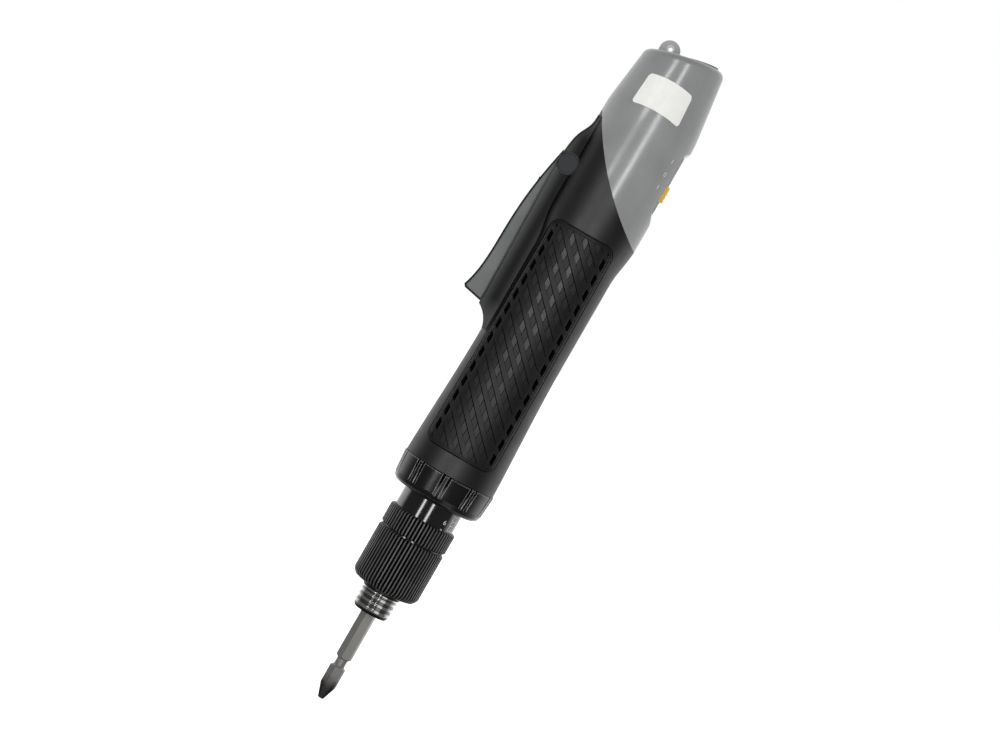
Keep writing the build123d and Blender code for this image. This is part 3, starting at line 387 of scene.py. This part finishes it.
def lever_finish():
    """Grey cheeks with black edges and a black back, as the lever is coated."""
    f = Finish("lever_grey", 0.42)
    facing = f.calc("ABSOLUTE", f.axis(f.bevelled(1.3 * MM, 6), "Y"))
    cheek = f.span(facing, 0.975, 0.995)
    cloud = f.clouds(60)
    grey = f.tones(cloud, linear(98, 102, 101), linear(108, 112, 111))
    black = f.tones(cloud, linear(8, 8, 9), linear(14, 14, 15))
    f.colour(f.mix(cheek, black, grey))
    f.specular(f.span(cheek, 0.0, 1.0, 0.1, 0.5))
    f.rough(f.drift(f.noise(140, 5, 0.6), 0.5, 0.62))
    f.bump(f.noise(2600, 2), 0.015 * MM, 0.6)
    return f


def bit_finish():
    """Satin hardened steel, darker where the point was heated."""
    f = Finish("bit_steel", 0.36, 0.7)
    brush = f.brush(4200, 190)
    plain = f.broad_tones(brush, linear(146, 145, 142), linear(166, 165, 161))
    burnt = f.broad_tones(brush, linear(70, 69, 68), linear(92, 91, 89))
    wave = f.product(f.noise(260, 2), 4 * MM)
    heat_end = f.calc("ADD", f.axis(f.place, "Z"), wave)
    f.colour(f.mix(f.span(heat_end, 8 * MM, 13.5 * MM), burnt, plain))
    f.rough(f.drift(brush, 0.28, 0.46))
    f.bump(brush, 0.012 * MM, 0.5, 0.12 * MM)
    return f


# Weave of the grip pads: columns of facets in slanting bands, parted by thin lines
COLUMN_PITCH = 5.35 * MM
COLUMN_START = -4.70 * MM
FACET_WIDTH = 2.68 * MM
BAND_PITCH = 6.95 * MM
FACET_HEIGHT = BAND_PITCH * 0.53
WEAVE_SLOPE = 1.03
LINE_SOFT = 0.05 * MM
# The facets' painted highlight fades out towards the foot of the pad over this span.
FACET_FADE = (15 * MM, 75 * MM, 0.25, 1.0)


def pad_finish():
    """Rubber with a weave of thin lines and smooth facets, and deep slots: painted shade makes the lines and
    slots near black, and a painted highlight lightens the facets.
    """
    f = Finish("rubber_pad")
    height, field = f.attribute("relief"), f.attribute("field")
    across, along = f.attribute("across"), f.attribute("along")
    slant = f.calc("ADD", along, f.product(across, WEAVE_SLOPE))
    band = f.calc("FLOORED_MODULO", slant, BAND_PITCH)
    column = f.calc("FLOORED_MODULO", f.calc("SUBTRACT", across, COLUMN_START), COLUMN_PITCH)

    def line(value, place, half):
        return f.span(f.apart(value, place), half, half + LINE_SOFT, 1.0, 0.0)

    in_band = f.span(band, FACET_HEIGHT - LINE_SOFT, FACET_HEIGHT, 1.0, 0.0)
    in_column = f.span(column, FACET_WIDTH - LINE_SOFT, FACET_WIDTH, 1.0, 0.0)
    facet = f.product(in_band, in_column, field, f.span(along, *FACET_FADE))
    left_line, right_line = line(column, 0.0, 0.16 * MM), line(column, FACET_WIDTH, 0.06 * MM)
    top_line, foot_line = line(band, FACET_HEIGHT, 0.19 * MM), line(band, 0.0, 0.07 * MM)
    upright = f.product(f.most(left_line, right_line), in_band)
    lines = f.product(f.most(top_line, foot_line, upright), field)

    cloud = f.clouds(70)
    plain = f.tones(cloud, linear(15, 16, 16), linear(23, 24, 24))
    # Painted highlight: the facets take a lighter tone.
    smooth = f.tones(cloud, linear(34, 35, 35), linear(44, 45, 45))
    # Painted shade: the thin grooves of the weave are near black.
    woven = f.mix(lines, f.mix(facet, plain, smooth), linear(3))
    # Painted shade: the deep slots are near black.
    out_of_slot = f.span(height, 0.25, 0.55)
    f.colour(f.mix(out_of_slot, linear(4), woven))
    rough = f.span(facet, 0.0, 1.0, 0.5, 0.34)
    f.rough(f.calc("ADD", rough, f.drift(f.patches(160), -0.04, 0.04)))
    f.specular(f.product(f.span(height, 0.25, 0.55, 0.05, 0.5), f.span(lines, 0.0, 1.0, 1.0, 0.0)))
    f.bump(f.calc("SUBTRACT", f.product(f.noise(3000, 2), 0.08), lines), 0.16 * MM, 0.7)
    return f


# A finish for each material slot, and for the nodes that differ from their slot's
slot_finish = {
    "black_shell": shell_finish(),
    "lever_grey": lever_finish(),
    "bit_steel": bit_finish(),
    "rubber_pad": pad_finish(),
    "grey_cover": moulded(
        "grey_cover", linear(139, 140, 140), linear(148, 149, 149), 0.22,
        grain=0.003 * MM, grain_scale=900, spread=0.03, ior=1.8,
    ),
    "yellow_knob": moulded(
        "yellow_knob", linear(250, 196, 50), linear(253, 206, 66), 0.34,
        grain=0.01 * MM, grain_scale=1800, edge=0.7 * MM,
    ),
    "switch_black": moulded("switch_black", linear(24, 24, 26), linear(32, 32, 34), 0.4),
    "board": moulded("board", linear(16, 70, 40), linear(24, 92, 52), 0.35),
    "magnet": moulded("magnet", linear(60, 61, 64), linear(78, 79, 82), 0.3),
    "steel": machined("steel", linear(150, 152, 154), linear(176, 177, 179), 0.3),
    "gear_steel": machined("gear_steel", linear(120, 121, 124), linear(146, 147, 150), 0.32),
    "laminations": machined(
        "laminations", linear(92, 93, 96), linear(128, 129, 132), 0.4, rings=9000, depth=0.03 * MM
    ),
    "bronze": machined("bronze", linear(158, 112, 62), linear(190, 140, 84), 0.4),
    "contact_brass": machined("contact_brass", linear(196, 162, 92), linear(222, 190, 120), 0.25),
}
node_finish = {
    "torque_nut": ribbed_finish("torque_nut"),
    "lock_ring": ribbed_finish("lock_ring"),
    "coupling_nut": coupling_finish(),
    "bit_collar": collar_finish(),
    "clutch_housing": machined(
        "scale_tube", linear(6, 6, 7), linear(10, 10, 11), 0.09,
        metallic=0.0, rings=3000, depth=0.001 * MM, ior=1.9,
    ),
    # The darker tone along the edges of the pivot caps is painted shade.
    "pivot_caps": painted_edge_coat(
        "pivot_cap", linear(17, 19, 26), linear(26, 28, 36), linear(8, 8, 10), 0.4, 0.3 * MM
    ),
    "inlet_shell": moulded(
        "inlet_sleeve", linear(112, 113, 114), linear(126, 127, 128), 0.36,
        grain=0.01 * MM, grain_scale=1600, edge=0.2 * MM,
    ),
    "hanger_tab": moulded(
        "hanger_grey", linear(166), linear(178), 0.4, grain=0.01 * MM, grain_scale=1800, edge=0.3 * MM
    ),
    "hanger_eyelet": machined(
        "eyelet_nickel", linear(196), linear(214), 0.35, metallic=0.35, depth=0.004 * MM, edge=0.2 * MM
    ),
}
for name, piece in nodes.items():
    finish = node_finish[name] if name in node_finish else slot_finish[slot_of[name]]
    piece.data.materials.clear()
    piece.data.materials.append(finish.material)


def new_piece(name, mesh, finish, body):
    """A new piece that rides on a body and takes the finish it is given."""
    piece = bpy.data.objects.new(name, mesh)
    scene.collection.objects.link(piece)
    mesh.materials.clear()
    mesh.materials.append(finish.material)
    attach(piece, body)
    return piece


def mesh_piece(name, points, faces, finish, body, smooth=True):
    """A new piece from points and faces."""
    mesh = bpy.data.meshes.new(name)
    mesh.from_pydata([tuple(p) for p in points], [], faces)
    mesh.update()
    mesh.polygons.foreach_set("use_smooth", [smooth] * len(mesh.polygons))
    return new_piece(name, mesh, finish, body)


def tree_of(name):
    """A search tree over the mesh of a CAD node."""
    mesh = nodes[name].data
    return BVHTree.FromPolygons([v.co[:] for v in mesh.vertices], [p.vertices[:] for p in mesh.polygons])


# Rays towards the drive axis start this far from it, outside the whole object
RAY_START = 0.06


def radius_at(tree, angle, z):
    """Outer radius of a node about the drive axis, met from outside at an angle from +X."""
    way = Vector((math.cos(angle), math.sin(angle), 0))
    hit = tree.ray_cast(way * RAY_START + Vector((0, 0, z)), -way)[0]
    return None if hit is None else math.hypot(hit.x, hit.y)


# Grip pads: a curved sheet of moulded relief in the place of each plain CAD pad.
# Depths are below the pad's outer surface. A ridge is its middle, half width and slope.
PAD_COLUMNS, PAD_ROWS = 150, 420
PAD_LEVELS, PAD_LEVEL_MARGIN = 60, 0.3 * MM
PAD_CORNER = 4.5 * MM
PAD_TAPER = 1.3 * MM
FIELD_DEPTH, BORDER_DEPTH, SLOT_DEPTH = 0.3 * MM, 0.42 * MM, 1.05 * MM
OUTER_RIDGE = (0.55 * MM, 0.2 * MM, 0.22 * MM)
INNER_RIDGE = (1.45 * MM, 0.14 * MM, 0.2 * MM)
BORDER_END = (1.6 * MM, 2.0 * MM)
WEAVE_SIDE = (4.2 * MM, 4.8 * MM)
SLOT_PITCH, SLOT_SLOPE = 7.1 * MM, 0.85
SLOT_LENGTH = (0.0, 1.95 * MM, 0.25 * MM)
SLOT_WIDTH = (2.6 * MM, 0.6 * MM, 0.3 * MM)
SLOT_ROW_END = (2.4 * MM, 3.0 * MM)
BRIM_DEPTH, BRIM_WIDTH = 0.75 * MM, 0.35 * MM


def smooth_step(value, low, high):
    """0 below low, 1 above high and a smooth curve between them."""
    t = np.clip((value - low) / (high - low), 0, 1)
    return t * t * (3 - 2 * t)


def ridge(value, middle, half, slope):
    """1 within half of the middle, falling to 0 over the slope on both sides."""
    return 1 - smooth_step(np.abs(value - middle), half, half + slope)


def pad_relief(x, z, low, high, half):
    """Height of the pad's relief from its outer surface, and where the weave of lines lies."""
    side = half - np.abs(x)
    end = np.minimum(z - low, high - z)
    round_edge = PAD_CORNER - np.hypot(
        np.clip(PAD_CORNER - side, 0, None), np.clip(PAD_CORNER - end, 0, None)
    )
    in_corner = (side < PAD_CORNER) & (end < PAD_CORNER)
    edge = np.where(in_corner, round_edge, np.minimum(side, end))
    rim = np.maximum(ridge(edge, *OUTER_RIDGE), ridge(edge, *INNER_RIDGE))
    inside = smooth_step(edge, *BORDER_END)
    field = smooth_step(side, *WEAVE_SIDE) * inside

    along_slot = np.mod(z + SLOT_SLOPE * x - low, SLOT_PITCH) - SLOT_PITCH / 2
    slot = ridge(along_slot, *SLOT_LENGTH) * ridge(side, *SLOT_WIDTH) * smooth_step(end, *SLOT_ROW_END)
    height = -FIELD_DEPTH * inside - BORDER_DEPTH * (1 - inside)
    height = height * (1 - slot) - SLOT_DEPTH * slot
    height = np.maximum(height, -BORDER_DEPTH * (1 - rim)) * rim + height * (1 - rim)
    height -= BRIM_DEPTH * (1 - smooth_step(edge, 0.0, BRIM_WIDTH))
    return height, field * (1 - slot)


def grip_pad(node, name, side):
    """Build the relief over the surface of one CAD pad; side is -1 for the front and 1 for the back."""
    low_corner, high_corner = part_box(node)
    low, high = low_corner.z, high_corner.z
    tree = tree_of(node)
    levels = np.linspace(low + PAD_LEVEL_MARGIN, high - PAD_LEVEL_MARGIN, PAD_LEVELS)
    radii = np.array([radius_at(tree, side * math.pi / 2, z) for z in levels])

    z = np.linspace(low, high, PAD_ROWS)[:, None]
    widest = max(abs(low_corner.x), abs(high_corner.x))
    half = widest - PAD_TAPER * (z - low) / (high - low)
    end = np.minimum(z - low, high - z)
    arc = np.sqrt(np.clip(PAD_CORNER**2 - (PAD_CORNER - end) ** 2, 0, None))
    cut = np.where(end < PAD_CORNER, PAD_CORNER - arc, 0)
    x = np.linspace(-1, 1, PAD_COLUMNS)[None, :] * (half - cut)
    z = np.broadcast_to(z, x.shape)
    half = np.broadcast_to(half, x.shape)
    across = x * -side
    height, field = pad_relief(across, z, low, high, half)
    radius = np.interp(z, levels, radii) + height
    y = side * np.sqrt(radius**2 - x**2)

    points = np.stack([x, y, z], -1).reshape(-1, 3)
    index = np.arange(points.shape[0]).reshape(x.shape)
    corners = [index[:-1, :-1], index[:-1, 1:], index[1:, 1:], index[1:, :-1]]
    quads = np.stack(corners, -1).reshape(-1, 4)
    if side > 0:
        quads = quads[:, ::-1]
    piece = mesh_piece(name, points, quads.tolist(), slot_finish["rubber_pad"], "housing")
    relief = np.clip(1 + height / SLOT_DEPTH, 0, 1)
    for key, values in (("relief", relief), ("field", field), ("across", across), ("along", z - low)):
        attribute = piece.data.attributes.new(key, "FLOAT", "POINT")
        attribute.data.foreach_set("value", values.astype(np.float32).ravel())
    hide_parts(node)


grip_pad("grip_pad_front", "grip_pad_front_relief", -1)
grip_pad("grip_pad_back", "grip_pad_back_relief", 1)

# Hanger tab: corners round its outline, and how far the eyelet laps over its hole
TAB_POINTS = 64
EYELET_LAP = 0.3 * MM
FLAT = 1e-6


def hanger_plate():
    """The hanger tab with a half round top, in the place of the squarer CAD tab."""
    low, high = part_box("hanger_tab")
    eye_low, eye_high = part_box("hanger_eyelet")
    half = (high.x - low.x) / 2
    middle = (high.x + low.x) / 2
    eye = (eye_low.z + eye_high.z) / 2
    hole = (eye_high.z - eye_low.z) / 2 - EYELET_LAP
    shoulder = high.z - half
    outer, inner = [], []
    for i in range(TAB_POINTS):
        a = 2 * math.pi * i / TAB_POINTS
        dx, dz = math.cos(a), math.sin(a)
        to_side = half / abs(dx) if abs(dx) > FLAT else 1
        to_foot = (eye - low.z) / -dz if dz < -FLAT else 1
        reach = min(to_side, to_foot)
        if eye + reach * dz > shoulder:
            drop = (eye - shoulder) * dz
            reach = -drop + math.sqrt(drop**2 + half**2 - (eye - shoulder) ** 2)
        outer.append((middle + reach * dx, eye + reach * dz))
        inner.append((middle + hole * dx, eye + hole * dz))
    points = [(x, y, z) for y in (low.y, high.y) for x, z in outer + inner]
    front_out, front_in, back_out, back_in = (TAB_POINTS * ring for ring in range(4))
    faces = []
    for i in range(TAB_POINTS):
        j = (i + 1) % TAB_POINTS
        faces.append((front_out + i, front_out + j, front_in + j, front_in + i))
        faces.append((back_out + j, back_out + i, back_in + i, back_in + j))
        faces.append((front_out + j, front_out + i, back_out + i, back_out + j))
        faces.append((front_in + i, front_in + j, back_in + j, back_in + i))
    finish = node_finish["hanger_tab"]
    piece = mesh_piece("hanger_tab_round", points, faces, finish, "housing", smooth=False)
    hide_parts("hanger_tab")


hanger_plate()


def pressed_spring(node):
    """A spring in the place of its CAD node: a copy of its mesh that rides on the same body."""
    piece = bpy.data.objects.new(node + "_coil", nodes[node].data.copy())
    scene.collection.objects.link(piece)
    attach(piece, body_of(nodes[node])[0])
    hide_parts(node)
    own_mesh(piece)


pressed_spring("torque_spring")
pressed_spring("collar_spring")


def label_finish():
    """Satin label paper."""
    f = Finish("label_paper", specular=0.3)
    f.colour(f.broad_tones(f.clouds(240), linear(238, 238, 233), linear(243, 243, 240)))
    f.rough(f.drift(f.noise(420), 0.34, 0.46))
    f.bump(f.noise(900), 0.012 * MM, 0.5)
    return f


def ink_finish(name, dark, light):
    """Printed ink."""
    f = Finish(name)
    f.colour(f.broad_tones(f.noise(1500), dark, light))
    f.bump(f.noise(2600, 2), 0.006 * MM, 0.4)
    return f


white_ink = ink_finish("mark_white", linear(205, 205, 203), linear(228, 228, 226))
grey_ink = ink_finish("mark_light_grey", linear(188, 189, 188), linear(208, 209, 208))

# Plates that are wrapped round the drive axis: rows from edge to edge, and how deep they sit
PLATE_ROWS = 14
PLATE_SINK = 0.05 * MM
NEAR = 1e-9


def from_front(degrees):
    """Angle from +X of a place so many degrees from the front, -Y, towards the switch."""
    return math.radians(-90 + degrees)


def rounded(width, height, corner, count=6):
    """Corners of a rounded rectangle about its middle."""
    out = []
    for cx, cy, start in ((1, 1, 0), (-1, 1, 90), (-1, -1, 180), (1, -1, 270)):
        for i in range(count + 1):
            a = math.radians(start + 90 * i / count)
            x = cx * (width / 2 - corner) + corner * math.cos(a)
            y = cy * (height / 2 - corner) + corner * math.sin(a)
            out.append((x, y))
    return out


def reach_at(outline, u):
    """Lowest and highest point of a closed outline at one place along its width."""
    found = []
    for (u0, v0), (u1, v1) in zip(outline, outline[1:] + outline[:1]):
        upright = abs(u1 - u0) <= NEAR
        if upright and abs(u - u0) < NEAR:
            found += [v0, v1]
        elif not upright and min(u0, u1) - NEAR <= u <= max(u0, u1) + NEAR:
            found.append(v0 + (v1 - v0) * (u - u0) / (u1 - u0))
    return min(found), max(found)


def wrapped_plate(name, node, angle, z, outline, thick, finish, body, step=0.6 * MM, bow=0.0):
    """A thin plate wrapped round the drive axis over a node.

    Its outline is in (round, up) metres about its middle. A bow raises the middle above both sides.
    """
    tree = tree_of(node)
    left, right = min(u for u, v in outline), max(u for u, v in outline)
    columns = max(2, int((right - left) / step) + 1)
    places = [(u, *reach_at(outline, u)) for u in np.linspace(left, right, columns + 1)]
    base = radius_at(tree, angle, z)
    points = []
    for layer in (thick, -PLATE_SINK):
        for u, low, high in places:
            rise = bow * (1 - (u / right) ** 2)
            for row in range(PLATE_ROWS + 1):
                up = z + low + (high - low) * row / PLATE_ROWS + rise
                a = angle + u / base
                r = radius_at(tree, a, up) + layer
                points.append((r * math.cos(a), r * math.sin(a), up))

    def at(column, row, back=0):
        return (back * (columns + 1) + column) * (PLATE_ROWS + 1) + row

    faces = []
    for c in range(columns):
        for k in range(PLATE_ROWS):
            faces.append((at(c, k), at(c + 1, k), at(c + 1, k + 1), at(c, k + 1)))
            faces.append((at(c, k, 1), at(c, k + 1, 1), at(c + 1, k + 1, 1), at(c + 1, k, 1)))
    top, end = PLATE_ROWS, columns
    for c in range(columns):
        faces.append((at(c, 0, 1), at(c + 1, 0, 1), at(c + 1, 0), at(c, 0)))
        faces.append((at(c, top), at(c + 1, top), at(c + 1, top, 1), at(c, top, 1)))
    for k in range(PLATE_ROWS):
        faces.append((at(0, k), at(0, k + 1), at(0, k + 1, 1), at(0, k, 1)))
        faces.append((at(end, k, 1), at(end, k + 1, 1), at(end, k + 1), at(end, k)))
    mesh_piece(name, points, faces, finish, body, smooth=False)


# Bare rating label: a thin rounded sheet on the front of the rear cover
LABEL_MIDDLE = 291.1 * MM
wrapped_plate(
    "rating_label", "rear_cover", from_front(0.5), LABEL_MIDDLE, rounded(22.3 * MM, 14.3 * MM, 1.3 * MM),
    0.14 * MM, label_finish(), "housing", bow=1.2 * MM,
)

# Marks of the direction switch beside its recess: a stroke for each direction, and a ring for off
SWITCH_ANGLE = from_front(51)
OFF_MARK = 264.8 * MM
STROKE = rounded(0.5 * MM, 2.0 * MM, 0.22 * MM)
RING = rounded(1.7 * MM, 2.0 * MM, 0.84 * MM)
RING_CENTRE = rounded(0.9 * MM, 1.2 * MM, 0.44 * MM)
for name, z, outline, thick, finish in (
    ("switch_mark_1", 271.0 * MM, STROKE, 0.06 * MM, grey_ink),
    ("switch_mark_2", OFF_MARK, RING, 0.06 * MM, grey_ink),
    ("switch_mark_3", 258.9 * MM, STROKE, 0.06 * MM, grey_ink),
    ("switch_mark_2_centre", OFF_MARK, RING_CENTRE, 0.09 * MM, slot_finish["grey_cover"]),
):
    wrapped_plate(
        name, "rear_cover", SWITCH_ANGLE, z, outline, thick, finish, "housing", 0.1 * MM
    )

# Torque scale on the tube: short lines that start at a datum line, and their plain numbers
SCALE_ANGLE, NUMBER_ANGLE = from_front(57), from_front(42)
TUBE_RADIUS = 13.75 * MM
SCALE_START, SCALE_PITCH = 1.2 * MM, 2.1 * MM
LINE_THICK, LINE_WIDE = 0.03 * MM, 0.22 * MM
NUMBER_SIZE, NUMBER_THICK = 3.0 * MM, 0.02 * MM
tube_tree = tree_of("clutch_housing")
scale_low, scale_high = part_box("lock_ring")[1].z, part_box("coupling_nut")[0].z


def scale_line(name, angle, z, wide, tall):
    """A printed line of the scale."""
    outline = rounded(wide, tall, 0.08 * MM, 2)
    wrapped_plate(
        name, "clutch_housing", angle, z, outline,
        LINE_THICK, white_ink, "housing", 0.2 * MM,
    )


for number, wide in enumerate((3.4 * MM, 2.2 * MM, 3.4 * MM, 2.2 * MM)):
    z = scale_low + SCALE_START + SCALE_PITCH * number
    scale_line(f"scale_line_{number + 1}", SCALE_ANGLE + wide / 2 / TUBE_RADIUS, z, wide, LINE_WIDE)
scale_line("scale_datum", SCALE_ANGLE, (scale_low + scale_high) / 2, LINE_WIDE, 7.6 * MM)


def number_mark(name, text, z):
    """A printed numeral, bent to the tube."""
    curve = bpy.data.curves.new(name, "FONT")
    curve.body = text
    curve.size = NUMBER_SIZE
    curve.align_x = "CENTER"
    curve.align_y = "CENTER"
    curve.extrude = NUMBER_THICK
    made = bpy.data.objects.new(name + "_text", curve)
    scene.collection.objects.link(made)
    bpy.context.view_layer.update()
    mesh = bpy.data.meshes.new_from_object(made.evaluated_get(bpy.context.evaluated_depsgraph_get()))
    bpy.data.objects.remove(made)
    radius = radius_at(tube_tree, NUMBER_ANGLE, z) + NUMBER_THICK
    for vertex in mesh.vertices:
        a = NUMBER_ANGLE + vertex.co.x / radius
        r = radius + vertex.co.z
        vertex.co = Vector((r * math.cos(a), r * math.sin(a), z + vertex.co.y))
    new_piece(name, mesh, white_ink, "housing")


number_mark("scale_number_6", "6", 92.2 * MM)
number_mark("scale_number_2", "2", 88.1 * MM)


def way_out(azimuth, rise):
    """Direction away from the object, in degrees from the front towards the switch and upwards."""
    a, e = math.radians(azimuth), math.radians(rise)
    return Vector((math.sin(a) * math.cos(e), -math.cos(a) * math.cos(e), math.sin(e)))


# Camera at the photograph's viewing angle
CAMERA_AZIMUTH, CAMERA_RISE = 3.0, 2.2
CAMERA_ROLL = math.radians(29.95)
CAMERA_DISTANCE = 1.142
CAMERA_TARGET = Vector((-2.3 * MM, 0, 157.4 * MM))
LENS, SENSOR_WIDTH = 97, 36
back = way_out(CAMERA_AZIMUTH, CAMERA_RISE)
right = Vector((0, 0, 1)).cross(back).normalized()
up = back.cross(right)
camera_right = math.sin(CAMERA_ROLL) * up + math.cos(CAMERA_ROLL) * right
camera_up = math.cos(CAMERA_ROLL) * up - math.sin(CAMERA_ROLL) * right
camera = bpy.data.objects.new("camera", bpy.data.cameras.new("camera"))
scene.collection.objects.link(camera)
camera.data.lens = LENS
camera.data.sensor_width = SENSOR_WIDTH
turn = Matrix((camera_right, camera_up, back)).transposed().to_4x4()
camera.matrix_world = Matrix.Translation(CAMERA_TARGET + back * CAMERA_DISTANCE) @ turn
scene.camera = camera


def area_light(name, azimuth, rise, distance, wide, tall, power, aim=(0, 0, 0.17)):
    """A rectangular light that faces a point of the object from a distance."""
    data = bpy.data.lights.new(name, "AREA")
    data.shape = "RECTANGLE"
    data.size = wide
    data.size_y = tall
    data.energy = power
    made = bpy.data.objects.new(name, data)
    scene.collection.objects.link(made)
    way = way_out(azimuth, rise)
    made.location = Vector(aim) + way * distance
    made.rotation_euler = way.to_track_quat("Z", "Y").to_euler()
    made.visible_camera = False
    return made


# Tall soft strips in front, whose streaks the photograph shows. The left one has a gap.
STRIP_DISTANCE, STRIP_WIDTH, STRIP_RADIANCE = 0.52, 0.07, 6.8
LEFT_STRIP, RIGHT_STRIP = -22.8, 10.4
STRIP_TOP = 0.62
STRIP_GAP = (0.275, 0.342)


def strip(name, azimuth, low, high):
    """A tall soft light that faces the drive axis, of one brightness whatever its height."""
    power = STRIP_RADIANCE * math.pi * STRIP_WIDTH * (high - low)
    area_light(name, azimuth, 0, STRIP_DISTANCE, STRIP_WIDTH, high - low, power, (0, 0, (low + high) / 2))


strip("strip_left_low", LEFT_STRIP, 0.0, STRIP_GAP[0])
strip("strip_left_high", LEFT_STRIP, STRIP_GAP[1], STRIP_TOP)
strip("strip_right", RIGHT_STRIP, 0.0, STRIP_TOP)

# A small card beside the bit, and broad weak fill that leaves no streaks of its own
area_light("bit_card", 38, 0, 0.12, 0.06, 0.05, 0.006, (0, 0, 0.025))
for name, *setting in (
    ("side_left", -105, 8, 1.4, 0.5, 1.2, 3),
    ("side_right", 100, 8, 1.4, 0.5, 1.2, 3),
    ("top_back", 180, 40, 1.6, 1.2, 0.8, 6),
):
    area_light(name, *setting).visible_glossy = False

# World: white to the camera, and to mirror rays behind the object; nearly dark to mirror rays in front
FILL_STRENGTH = 0.36
MIRROR_FRONT, MIRROR_BACK = 0.03, 1.0
FRONT_END, BACK_START = -0.1, 0.75
world = bpy.data.worlds.new("studio")
world.use_nodes = True
world.node_tree.nodes.clear()
scene.world = world
sky = Nodes(world.node_tree)
rays = sky.add("ShaderNodeLightPath").outputs
towards = sky.axis(sky.add("ShaderNodeTexCoord").outputs["Generated"], "Y")
mirrored = sky.span(towards, FRONT_END, BACK_START, MIRROR_FRONT, MIRROR_BACK)
cast = sky.mix(rays["Is Glossy Ray"], FILL_STRENGTH, mirrored, "FLOAT")
backdrop = sky.add("ShaderNodeBackground")
sky.join((1.0, 1.0, 1.0, 1.0), backdrop.inputs["Color"])
sky.join(
    sky.most(cast, rays["Is Camera Ray"], rays["Is Transmission Ray"]), backdrop.inputs["Strength"]
)
sky.join(backdrop.outputs[0], sky.add("ShaderNodeOutputWorld").inputs["Surface"])

# Pale floor under the bit's tip: mostly its own white to the camera, with the shadow kept.
# To mirror rays it darkens from behind the object to the front, as the world does.
FLOOR_REACH, FLOOR_LEVEL = 6.0, -2 * MM
FLOOR_GLOW = 0.85
FLOOR_SHADE = 0.02
DARK_SHARE = 0.93
DARK_START, DARK_END = 0.3, 0.0
quarters = ((-1, -1), (1, -1), (1, 1), (-1, 1))
floor_corners = [(x * FLOOR_REACH, y * FLOOR_REACH, FLOOR_LEVEL) for x, y in quarters]
floor_mesh = bpy.data.meshes.new("floor")
floor_mesh.from_pydata(floor_corners, [], [(0, 1, 2, 3)])
floor = bpy.data.objects.new("floor", floor_mesh)
scene.collection.objects.link(floor)
ground = Finish("floor_white", 0.9)
ground.colour(ground.broad_tones(ground.noise(12), linear(244), linear(248)))
rays = ground.add("ShaderNodeLightPath").outputs
seen = ground.most(rays["Is Camera Ray"], rays["Is Glossy Ray"], rays["Is Transmission Ray"])
glow = ground.add("ShaderNodeEmission")
ground.join(ground.product(seen, FLOOR_GLOW), glow.inputs["Strength"])
lit = ground.add("ShaderNodeAddShader")
ground.join(glow.outputs[0], lit.inputs[0])
ground.join(ground.shader.outputs[0], lit.inputs[1])
shade = ground.add("ShaderNodeEmission")
ground.join(FLOOR_SHADE, shade.inputs["Strength"])
darkened = ground.span(ground.axis(ground.place, "Y"), DARK_START, DARK_END, 0.0, DARK_SHARE)
surface = ground.add("ShaderNodeMixShader")
ground.join(ground.product(rays["Is Glossy Ray"], darkened), surface.inputs[0])
ground.join(lit.outputs[0], surface.inputs[1])
ground.join(shade.outputs[0], surface.inputs[2])
ground.join(surface.outputs[0], ground.tree.nodes["Material Output"].inputs["Surface"])
floor_mesh.materials.append(ground.material)

scene.view_settings.view_transform = "Standard"
